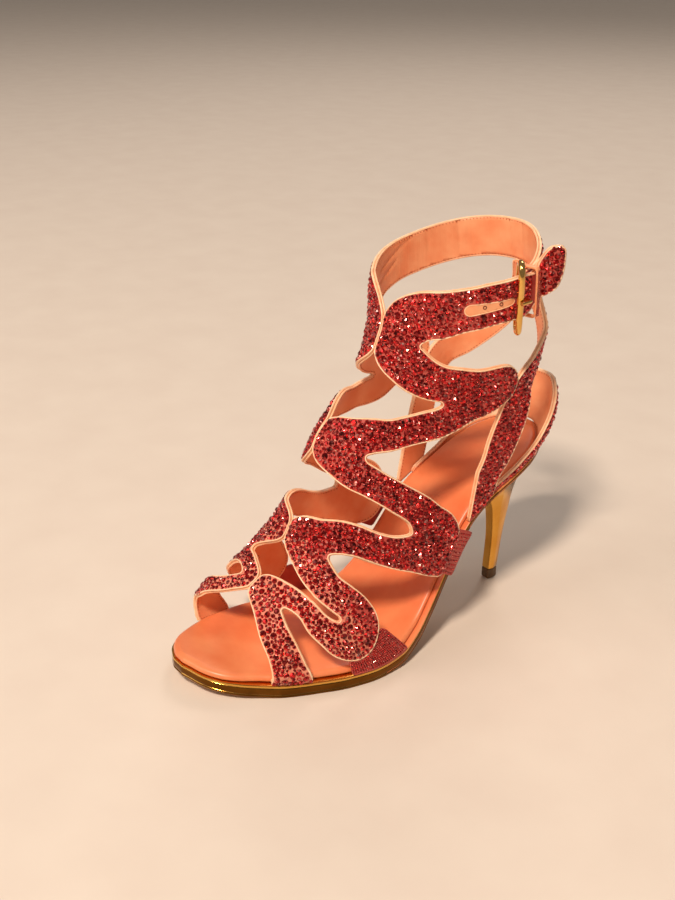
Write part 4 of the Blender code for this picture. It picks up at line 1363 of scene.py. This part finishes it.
def heel_piece(material):
    """Faceted heel, from the seat of the sole down to its top piece."""
    def seat(y):
        return float(profile_at(y)[1]) - GAP

    def lip(y):
        return seat(y) - HEEL_LIP_DROP

    rings = [heel_ring(*HEEL_SEAT, seat), heel_ring(*HEEL_LIP, lip)]
    row_at = spline(sorted(HEEL_ROWS))
    for z in np.linspace(HEEL_ROWS[0][0], HEEL_ROWS[-1][0], 15):
        rings.append(heel_ring(*[float(v) for v in row_at(z)], float(z)))
    return dress(faceted_column("heel_column", rings, HEEL_EDGE), [material], ["heel"])


def heel_tip_piece(material):
    """Small piece under the heel that takes the wear."""
    row = HEEL_ROWS[-1][1:]
    rings = [heel_ring(*row, HEEL_TIP_HIGH), heel_ring(*row, 0.6)]
    small = (row[0] + 0.4, row[1], row[2] - 0.4, row[3] - 0.4, row[4] - 0.4, row[5] - 0.2)
    rings.append(heel_ring(*small, 0.0))
    return dress(faceted_column("heel_top_piece", rings, 0.3), [material], ["heel_tip"])


def ribbon_cover(side):
    """Heel strap as a cover: along its run and across it, both in mm."""
    rows = np.array(HEEL_STRAP_ROWS if side > 0 else MEDIAL_HEEL_STRAP_TOP + HEEL_STRAP_ROWS[3:], float)
    run = run_of(rows[:, :3])
    rows = smooth_line(rows, run, np.linspace(0, run[-1], 60))
    along = unit(np.gradient(rows[:, :3], axis=0))
    heading = np.radians(rows[:, 4])
    facing = np.stack([np.cos(heading), np.sin(heading), np.zeros(len(rows))], -1)
    across = unit(np.cross(along, facing))
    middle, wide = rows[:, :3], rows[:, 3]
    foot_wide = HEEL_STRAP_ROWS[-1][3]
    foot = []
    for share in (-0.5, 0.5):
        y = HEEL_STRAP_FOOT_Y - foot_wide * share
        edge = float(outline_at(turn(y))[0]) - STRAP_SET_IN + HEEL_STRAP_STANDS
        foot.append(np.array([edge, y, float(profile_at(y)[0]) + GAP]))
    middle = np.vstack([middle, (foot[0] + foot[1]) / 2])
    across = np.vstack([across, unit(foot[1] - foot[0])])
    wide = np.append(wide, np.linalg.norm(foot[1] - foot[0]))
    run = run_of(middle)
    mirror = np.array([side, 1.0, 1.0])

    def point(u, v):
        return (read_along(run, middle, u) + read_along(run, across, u) * np.asarray(v)[..., None]) * mirror

    def normal(u, v):
        ahead = point(u + 0.8, v) - point(u - 0.8, v)
        aside = point(u, v + 0.5) - point(u, v - 0.5)
        return unit(np.cross(aside, ahead)) * side

    def field(u, v):
        half = np.interp(u, run, wide) / 2
        return np.maximum(np.abs(v) - half, np.maximum(HEEL_STRAP_TUCK - u, u - run[-1] + 0.3))

    def hidden(u, v):
        return (u < HEEL_STRAP_TUCK + 0.6) | (u > run[-1] - 2.0)

    return Cover(point, normal, field, (-1, -HEEL_STRAP_CHART), (run[-1] + 1, HEEL_STRAP_CHART),
                 (1, 1), 0.5, hidden)


def counter_cover():
    """Counter as a cover: round the heel seat and up, both in mm."""
    row_at = spline(COUNTER_ROWS)
    first = float(turn(COUNTER_ROWS[0][0]))
    ts = np.concatenate([np.linspace(first, 0.992, 70), np.linspace(0.992, first, 70)])
    sides = np.repeat([1, -1], 70)
    base, out, high, lean = [], [], [], []
    for t, side in zip(ts, sides):
        y = SOLE_LENGTH * (1 - math.cos(math.pi * t)) / 2
        ahead, behind = outline_at(min(t + 0.004, 1.0)), outline_at(t - 0.004)
        dy = SOLE_LENGTH * (math.cos(math.pi * (t - 0.004)) - math.cos(math.pi * min(t + 0.004, 1.0))) / 2
        k = 0 if side > 0 else 1
        outward = unit(np.array([side * dy, -side * float(ahead[k] - behind[k])]))
        spot = np.array([float(outline_at(t)[k]), y]) - outward * STRAP_SET_IN
        up, tilt = [float(v) for v in row_at(y)]
        base.append((*spot, float(profile_at(y)[0]) + GAP))
        out.append((*outward, 0.0))
        high.append(up)
        lean.append(tilt)
    base, out, high, lean = np.array(base), np.array(out), np.array(high), np.array(lean)
    run = run_of(base)

    def point(u, v):
        up = np.interp(u, run, high)
        share = np.clip(v / up, 0, 1.1)
        swell = np.interp(u, run, lean) * np.sin(share * COUNTER_BULGE) / math.sin(COUNTER_BULGE)
        upward = np.asarray(v)[..., None] * np.array([0, 0, 1.0])
        return read_along(run, base, u) + read_along(run, out, u) * swell[..., None] + upward

    def normal(u, v):
        ahead = point(u + 0.6, v) - point(u - 0.6, v)
        upward = point(u, v + 0.4) - point(u, v - 0.4)
        return unit(np.cross(ahead, upward))

    def field(u, v):
        up = np.interp(u, run, high)
        return np.maximum(v - up, np.maximum(0.3 - v, np.maximum(0.5 - u, u - run[-1] + 0.5)))

    def hidden(u, v):
        return (v < np.interp(u, run, high) - 1.2) | (u < 2) | (u > run[-1] - 2)

    return Cover(point, normal, field, (-0.5, -0.5), (run[-1] + 0.5, 28), (1, 1), 0.5, hidden)


def strap_covers():
    """The lateral and the medial serpentine strap, butted at the seams."""
    lines = {1: draw_line(fold_line(1) + list(TAIL_ROWS), 1.0),
             -1: draw_line(fold_line(-1) + list(ROUND_ROWS), 1.0)}
    covers = {}
    for side in (1, -1):
        def field(station, angle, side=side):
            own = line_field(lines[side], station, angle)
            other = line_field(lines[-side], station, angle)
            near_seam = np.abs(angle) < SEAM_REACH
            own = np.where(near_seam, np.maximum(own, (own - other) / 2 + SEAM_GAP), own)
            own = clip_at_sole(own, station, angle)
            if side > 0:
                hole = last_point(BUCKLE_STATION, HOLE_ANGLE)
                away = np.linalg.norm(last_point(station, angle) - hole, axis=-1)
                own = np.maximum(own, HOLE_WIDE / 2 - np.where(np.abs(angle - HOLE_ANGLE) < 30, away, 99))
            return own

        def hidden(station, angle):
            round_by = np.abs(angle)
            tucked = (station < FOOT_TO) & (round_by > SHOWN_TO_ANGLE) & (round_by < UNDER_SOLE_FROM)
            return tucked | (angle < ROUND_END + 3)

        angles = (-30, 140) if side > 0 else (ROUND_END, 30)
        covers[side] = Cover(strap_point, strap_normal, field, (0.2, angles[0]), (10.6, angles[1]),
                             CHART_SCALE, 0.7, hidden)
        round_inner_corners(covers[side])
    return covers


def tab_cover(side, row, foot_row):
    """A tab as a cover in mm: a ruled sheet from under the bend of a strap down to the sole's edge."""
    station, angle, width, foot_station, foot_width = row
    out, hang = foot_row
    share = np.linspace(0, 1, 60)
    ends = last_point(np.array([station - 0.5, station + 0.5]), side * angle)
    at = station + (share - 0.5) * width / np.linalg.norm(ends[1] - ends[0])
    bend = np.full(len(at), float(side * angle))
    top = last_point(at, bend) - last_normal(at, bend) * TAB_DROPS
    foot_y = float(foot_at(foot_station)[0]) + (share - 0.5) * foot_width
    edge = outline_at(turn(foot_y))[0 if side > 0 else 1]
    foot = np.stack([edge + side * out, foot_y, profile_at(foot_y)[0] + GAP - hang], -1)
    tall = float(np.linalg.norm(foot - top, axis=1).mean())

    def point(u, v):
        along, down = np.asarray(u) / foot_width, (np.asarray(v) / tall)[..., None]
        high, low = read_along(share, top, along), read_along(share, foot, along)
        return high * (1 - down) + low * down + 4 * TAB_BULGE * down * (1 - down) * np.array([side, 0, 0.0])

    def normal(u, v):
        ahead = point(u + 0.5, v) - point(u - 0.5, v)
        down = point(u, v + 0.5) - point(u, v - 0.5)
        return unit(np.cross(down, ahead)) * side

    def field(u, v):
        return np.maximum(np.abs(u - foot_width / 2) - foot_width / 2, np.maximum(-v, v - tall))

    def hidden(u, v):
        return np.ones(len(u), bool)

    return Cover(point, normal, field, (-1, -1), (foot_width + 1, tall + 1), (1, 1), 0.5, hidden)


def tab_stones(cover, strap):
    """Straight rows of tiny stones down a tab, where it shows below the strap."""
    i, j = np.nonzero(strap.grid < 0.1)
    covered = tree_of(strap.point(strap.us[i], strap.vs[j]))
    us, vs = np.meshgrid(np.arange(cover.us[0] + 1.7, cover.us[-1], TAB_ROW_PITCH),
                         np.arange(cover.vs[0] + 1.6, cover.vs[-1], TAB_STONE_PITCH), indexing="ij")
    us, vs = us.ravel(), vs.ravel()
    inside = cover.field(us, vs) < -TAB_STONE / 2
    us, vs = us[inside], vs[inside]
    shows = [covered.find(place)[2] > TAB_STONE_CLEAR for place in cover.point(us, vs)]
    return us[shows], vs[shows]


def buckle_axes():
    """Places of the ring's free side and of its bar, and the strap's own up direction."""
    free = last_point(BUCKLE_STATION, RING_ANGLE) + last_normal(BUCKLE_STATION, RING_ANGLE) * (
        float(lift_at(RING_ANGLE)[0]) + GAP + BUCKLE_WIRE + RING_STANDS)
    bar = last_point(BUCKLE_STATION, BAR_ANGLE) + last_normal(BUCKLE_STATION, BAR_ANGLE) * (
        float(lift_at(BAR_ANGLE)[0]) - WALL - GAP - BUCKLE_WIRE - BAR_DROPS)
    up = last_point(BUCKLE_STATION + 0.1, RING_ANGLE) - last_point(BUCKLE_STATION - 0.1, RING_ANGLE)
    return free, bar, unit(up)


def buckle_pieces(material):
    """Oval ring and bent prong."""
    free, bar, up = buckle_axes()
    middle, half = (free + bar) / 2, (free - bar) / 2
    path = []
    for k in range(96):
        turned = 2 * math.pi * k / 96
        c, s = math.cos(turned), math.sin(turned)
        path.append(middle + half * squared(c, RING_SQUARE)
                    + up * (BUCKLE_HIGH / 2 - BUCKLE_WIRE) * squared(s, RING_SQUARE))
    path = soften(np.array(path), 3)
    dress(tubes("buckle_ring", [(path, True)], BUCKLE_WIRE, 16), [material], ["buckle_frame"])
    outward = last_normal(BUCKLE_STATION, HOLE_ANGLE)
    forward = np.cross(outward, up)
    reach = BUCKLE_WIRE + GAP + PRONG_WIRE
    pin = [bar + reach * (forward * -math.cos(turned) + outward * math.sin(turned))
           for turned in np.radians(range(-100, -200, -10))]
    over = free + outward * reach
    rise = float(np.dot(over - pin[-1], outward))
    foot = pin[-1]
    pin += [foot + outward * (rise - 0.8), foot + outward * (rise - 0.25) + forward * 0.25,
            foot + outward * rise + forward * 0.8, over + forward * 2.2]
    dress(tubes("buckle_pin", [(np.array(pin), False)], PRONG_WIRE, 12), [material],
          ["buckle_prong"])


def keeper_pieces(leather, stone, stones):
    """Flat leather loop round both layers of the ankle strap, faced with rows of tiny stones."""
    station, angle = KEEPER_STATION, KEEPER_ANGLE
    normal = last_normal(station, angle)
    up = unit(last_point(station + 0.1, angle) - last_point(station - 0.1, angle))
    along = np.cross(up, normal)
    middle = last_point(station, angle)
    inner, outer = -WALL - GAP - 0.3, float(lift_at(angle + 2.4)[0]) + GAP + 0.7
    centre_n, half_n = (inner + outer) / 2, (outer - inner) / 2 + KEEPER_WALL / 2
    half_h = KEEPER_HALF + KEEPER_WALL / 2
    path, aim = [], []
    for k in range(64):
        c, s = math.cos(2 * math.pi * k / 64), math.sin(2 * math.pi * k / 64)
        n, h = squared(c, KEEPER_SQUARE) * half_n, squared(s, KEEPER_SQUARE) * half_h
        path.append(middle + normal * (centre_n + n) + up * h)
        aim.append(unit(normal * squared(c, 1.7) + up * squared(s, 1.7)))
    section = [(squared(math.cos(a), 0.5) * KEEPER_WIDE / 2, squared(math.sin(a), 0.5) * KEEPER_WALL / 2)
               for a in np.linspace(0, 2 * math.pi, 16, endpoint=False)]
    grid = np.array([[spot + along * w + out * t for w, t in section] for spot, out in zip(path, aim)])
    item = piece_of("keeper_loop", wrapped_grid(grid, 1, 1), 60)
    dress(item, [leather], ["keeper"])
    face = middle + normal * (centre_n + half_n + KEEPER_WALL / 2 - 0.05)
    heights = np.arange(-half_h + 0.9, half_h - 0.8, KEEPER_STONE_PITCH)
    spots = np.array([face + up * h + along * w for h in heights for w in KEEPER_STONE_ROWS])
    made = set_stones("keeper_stones", spots, np.repeat(normal[None], len(spots), axis=0),
                      np.full(len(spots), KEEPER_STONE), stone, 91)
    dress(made, [stones])


def slot_cover():
    """Bare slot along the ankle strap, wider at its front end."""
    middle = ((SLOT_FROM[0] + SLOT_TO[0]) / 2, (SLOT_FROM[1] + SLOT_TO[1]) / 2, (SLOT_WIDE + SLOT_NARROW) / 2)
    line = draw_line([(*SLOT_FROM, SLOT_WIDE), middle, (*SLOT_TO, SLOT_NARROW)], 0.5)

    def field(u, v):
        return line_field(line, u, v)

    def hidden(u, v):
        return np.zeros(len(u), bool)

    return Cover(strap_point, strap_normal, field, (8.8, 50), (9.8, 97), CHART_SCALE, 0.35, hidden)


def stitch_paths(cover, level):
    """Stitch lines on the lining side of a cover."""
    paths = []
    for loop in outlines(cover, level, 0.8):
        for stretch, _ in shown_stretches(cover, loop):
            normals = cover.normal(stretch[:, 0], stretch[:, 1])
            paths.append((cover.layer(stretch, WALL + 0.04), -normals))
    return paths


def build_upper(materials, stone):
    """Straps, heel straps, counter and tabs: leather layers, rolled edges, stitches and stones."""
    shaded_ground, pale, lining, cord, fold, stones, thread, hole = (
        materials[key] for key in ("shaded_ground", "pale", "lining", "cord", "fold", "stones", "thread", "hole"))
    straps = strap_covers()
    named = [("lateral_strap", straps[1], 1.15), ("medial_strap", straps[-1], 1.15),
             ("lateral_heel_strap", ribbon_cover(1), 1.0), ("medial_heel_strap", ribbon_cover(-1), 1.0),
             ("counter", counter_cover(), 1.0)]
    slot = slot_cover()

    def lateral_bare(station, angle):
        in_slot = ((station > slot.us[0]) & (station < slot.us[-1])
                   & (angle > slot.vs[0]) & (angle < slot.vs[-1]))
        bare = np.where(in_slot, -slot.field(station, angle) - 0.1, -99.0)
        under_keeper = np.where(station > 8.9, KEEPER_BARE - np.abs(angle - KEEPER_ANGLE) * 0.7, -99.0)
        return np.maximum(bare, under_keeper)

    def medial_bare(station, angle):
        return (UNDER_TAIL - angle) * 0.7

    def on_tail(station, angle):
        return 1 + TAIL_STRETCH * np.clip((angle - TAIL_FROM) / TAIL_OVER, 0, 1)

    bare = {"lateral_strap": lateral_bare, "medial_strap": medial_bare}
    cords, folds, sewn = [], [], []
    for order, (name, cover, spacing) in enumerate(named):
        chart, faces = cut_sheet(cover, spacing)
        outer = leather_layer(name + "_leather", cover, chart, faces, 0.0, OUTER_LEATHER)
        dress(outer, [shaded_ground, pale, fold], ["upper"] if order == 0 else ())
        # Over the toes the outer leather takes the paler kid; elsewhere the darker kid, whose darkness is
        # painted shade between close-set stones.
        if name in bare:
            uneven = np.random.default_rng(order).normal(0, 0.15, len(faces))
            over_toes = chart[faces].mean(axis=1)[:, 0] + uneven < TOE_TO
            outer.data.polygons.foreach_set("material_index", over_toes.astype(np.int32))
        depth = LINING_FROM - (crease_depths(cover, chart) if name == "medial_strap" else 0.0)
        inner = leather_layer(name + "_lining", cover, chart, faces, depth, WALL - LINING_FROM)
        dress(inner, [lining])
        cords += edge_paths(cover, EDGE_STANDS, CORD_THICK / 2 - CORD_PROUD, 0.8)
        folds += edge_paths(cover, EDGE_STANDS - 0.1, WALL - LINING_EDGE_THICK / 2 + 0.1, 0.9)
        sewn += stitch_paths(cover, STITCH_IN)
        field = cover.trimmed(bare[name]).stretched(on_tail) if name in bare else cover
        stone_piece(name + "_stones", field, 11 + order, stone, stones, TOE_TO if name in bare else -99.0)
    dress(tubes("strap_edge_cords", cords, CORD_THICK / 2, 8), [cord])
    dress(tubes("lining_edges", folds, LINING_EDGE_THICK / 2, 8), [fold])
    stitches("lining_stitches", sewn, thread)

    chart, faces = cut_sheet(slot, 0.8)
    strip = leather_layer("prong_slot", slot, chart, faces, -SLOT_PROUD, SLOT_THICK)
    dress(strip, [lining])
    dress(tubes("prong_slot_edge", edge_paths(slot, 0.1, -0.1, 0.6), SLOT_EDGE, 8), [fold])
    rings = []
    for station, angle in SLOT_HOLES:
        centre, normal = strap_point(station, angle), strap_normal(station, angle)
        aside = unit(np.cross(normal, (0, 0, 1.0)))
        above = np.cross(normal, aside)
        turns = np.linspace(0, 2 * np.pi, 24, endpoint=False)[:, None]
        circle = (aside * np.cos(turns) + above * np.sin(turns)) * SLOT_HOLE_WIDE / 2
        rings.append((centre + normal * 0.2 + circle, True))
    dress(tubes("prong_hole_rims", rings, SLOT_HOLE_RIM, 8), [hole])

    places, facing = [], []
    for letter, row, foot_row in zip("ab", TAB_ROWS, TAB_FEET):
        for word, side in (("lateral", 1), ("medial", -1)):
            cover = tab_cover(side, row, foot_row)
            chart, faces = cut_sheet(cover, 0.9)
            sheet = leather_layer("%s_tab_%s" % (word, letter), cover, chart, faces, 0.0, TAB_THICK)
            dress(sheet, [shaded_ground])
            us, vs = tab_stones(cover, straps[side])
            facing.append(cover.normal(us, vs))
            places.append(cover.point(us, vs) - facing[-1] * TAB_STONE_SINK)
    places, facing = np.concatenate(places), np.concatenate(facing)
    made = set_stones("tab_stones", places, facing, np.full(len(places), TAB_STONE), stone, 77)
    dress(made, [stones])


def build_sole(materials):
    """Padded insole, platform and heel."""
    def insole_thick(y):
        return np.full(np.shape(y), INSOLE_THICK)

    def sole_thick(y):
        top, bottom = profile_at(y)
        return top - bottom

    edge_at = spline(INSOLE_EDGE_ROWS)
    shape = sole_slab(lambda y: float(edge_at(y)[0]) + RIM_WIDE, INSOLE_RIM, INSOLE_STANDS + INSOLE_THICK,
                      insole_thick, INSOLE_CROWN, 150, 30)
    insole = dress(piece_of("padded_insole", shape, 70), [materials["sock"]], ["insole"])

    shape = sole_slab(lambda y: RIM_WIDE, PLATFORM_RIM, 0.0, sole_thick, 0.0, 150, 24)
    bmesh.ops.recalc_face_normals(shape, faces=shape.faces)
    # Faces of the platform: tread below, the gold darkened by a painted reflection of shadow on the side
    # below its top line, and sock leather on the top from the shank back.
    for face in shape.faces:
        spot = face.calc_center_median() / MM
        along = spot.y + SHIFT[1]
        top, bottom = profile_at(along)
        if face.normal.z < -0.25 and abs(face.normal.x) < 0.6:
            face.material_index = TREAD
        elif face.normal.z < 0.5 and (top - spot.z) / (top - bottom) > DARK_REFLECTION_FROM:
            face.material_index = DARK_REFLECTION_SIDE
        elif along > SHANK_FROM_Y and face.normal.z > 0.35:
            face.material_index = SOCK
    platform = piece_of("platform_sole", shape, 40)
    layers = [materials[key] for key in ("mirror", "tread", "sock", "painted_reflection")]
    dress(platform, layers, ["outsole"])

    heel_piece(materials["heel"])
    heel_tip_piece(materials["tip"])


def build_stage():
    """Pale floor, soft studio lights and the camera."""
    shape = bmesh.new()
    bmesh.ops.create_grid(shape, x_segments=2, y_segments=2, size=6.0)
    floor = piece_of("floor", shape, 30)
    floor.data.materials.append(
        leather_finish("pale studio paint", "#dfd2c6", "#e3d7cb", 40.0, 0.9, 0.05, 0.7, 0.8))

    yaw, pitch, roll = CAMERA_YAW, CAMERA_PITCH, CAMERA_ROLL
    ahead = Vector((-math.sin(yaw) * math.cos(pitch), math.cos(yaw) * math.cos(pitch), -math.sin(pitch)))
    right = Vector((math.cos(yaw), math.sin(yaw), 0))
    above = right.cross(ahead)
    across = right * math.cos(roll) + above * math.sin(roll)
    upward = above * math.cos(roll) - right * math.sin(roll)
    view = bpy.data.cameras.new("photo camera")
    view.sensor_width = 36.0
    view.lens = view.sensor_width * CAMERA_FOCAL_PIXELS / max(IMAGE_WIDE, IMAGE_HIGH)
    view.clip_start = 0.01
    camera = bpy.data.objects.new("photo camera", view)
    bpy.context.scene.collection.objects.link(camera)
    turned = Matrix((across, upward, -ahead)).transposed().to_4x4()
    camera.matrix_world = Matrix.Translation(Vector(to_frame(CAMERA_PLACE))) @ turned
    bpy.context.scene.camera = camera

    target = Vector((0.0, 0.0, 0.09))
    near = Vector((-ahead.x, -ahead.y, 0)).normalized()
    lamps = (
        # name, to the right, towards the camera, up, size, watts, colour
        ("key", -0.75, 1.8, 2.5, 0.5, 98, "#ffecd8"),
        ("fill", -2.0, 0.6, 1.6, 1.6, 14, "#fff6ee"),
        ("back", 0.6, -2.0, 2.0, 1.0, 16, "#fff4ea"),
    )
    for name, sideways, towards, up, size, watts, colour in lamps:
        lamp = bpy.data.lights.new(name, "AREA")
        lamp.shape = "DISK"
        lamp.size = size
        lamp.energy = watts
        lamp.color = hex_colour(colour)[:3]
        holder = bpy.data.objects.new(name, lamp)
        bpy.context.scene.collection.objects.link(holder)
        holder.location = target + right * sideways + near * towards + Vector((0, 0, up))
        holder.rotation_mode = "QUATERNION"
        holder.rotation_quaternion = (target - holder.location).to_track_quat("-Z", "Y")
    world = bpy.data.worlds.new("studio")
    world.use_nodes = True
    sky = world.node_tree.nodes["Background"]
    sky.inputs["Color"].default_value = hex_colour("#f6ece2")
    sky.inputs["Strength"].default_value = 0.22
    bpy.context.scene.world = world
    bpy.context.scene.view_settings.view_transform = "Standard"


materials = {
    # Matt rose kid, darkened with painted shade, that shows as thin lines between the close-set stones.
    "shaded_ground": leather_finish("rose kid leather with painted shade", "#b03e38", "#c6584c", 9.0, 0.5, 0.12, 0.5, 0.62),
    # The kid's own paler peach, over the toes, where the stones stand a little apart and no painted shade is
    # put between them.
    "pale": leather_finish("peach kid leather", "#d67c64", "#e6987c", 9.0, 0.5, 0.12, 0.5, 0.62),
    # Satin salmon lining with fine pores and faint folds across the strap.
    "lining": leather_finish("salmon lining leather", "#ee9262", "#f8b080", 12.0, 0.45, 0.08, 0.36, 0.54,
                             0.12, 0.5),
    # Cream rolled edge that catches the light all along the straps.
    "cord": leather_finish("cream rolled kid", "#f8c89c", "#fddfbc", 4.0, 0.7, 0.1, 0.34, 0.46, 0.15),
    # Peach turned-in edge of the lining, a shade deeper than the cord.
    "fold": leather_finish("salmon rolled kid", "#f6b88a", "#fcd0a8", 4.0, 0.7, 0.1, 0.34, 0.46, 0.15),
    # Russet thread with a waxy shine that shows as a fine dotted line along the lining's edge.
    "thread": leather_finish("waxed russet thread", "#a8482a", "#bc5c36", 4.0, 0.7, 0.1, 0.34, 0.46),
    # Dark raw edge inside a punched hole.
    "hole": leather_finish("punched hole edge", "#5c2016", "#7a3020", 0.8, 0.4, 0.05, 0.75, 0.85),
    # Red glass with painted light on its facets: painted dark tables, the glass's own reds and painted pink
    # flashes.
    "stones": stone_finish("foil-backed ruby glass"),
    # Smooth satin sock, salmon-orange with slight mottling.
    "sock": leather_finish("orange nappa leather", "#e27444", "#ee9260", 22.0, 0.6, 0.06, 0.33, 0.5, 0.3),
    # Gold mirror of the sole's side, darkened below its bright top line by a painted reflection of shadow.
    "painted_reflection": metal_finish("smoked gold mirror leather", "#54330f", "#7a4f1c", 0.05, 0.18),
    # Bright gold line along the top of the sole.
    "mirror": metal_finish("gold mirror leather", "#cf9236", "#e8b860", 0.08, 0.22),
    # Polished gold plate with crisp reflections down the heel's facets.
    "heel": metal_finish("plated gold", "#c9862c", "#e6ae52", 0.05, 0.16),
    # Bright polished gold wire.
    "wire": metal_finish("polished gold", "#e0a850", "#f6cf86", 0.06, 0.18),
    # Dry tan sole leather, scuffed by the floor.
    "tread": leather_finish("tan sole leather", "#a8763f", "#c99a62", 8.0, 0.9, 0.12, 0.45, 0.75),
    # Dark matt moulding, a little worn.
    "tip": leather_finish("moulded polyurethane", "#5a4026", "#7a5a38", 2.0, 0.6, 0.05, 0.5, 0.7),
}
stone = cut_stone(8)
build_sole(materials)
build_upper(materials, stone)
buckle_pieces(materials["wire"])
keeper_pieces(materials["lining"], stone, materials["stones"])
build_stage()
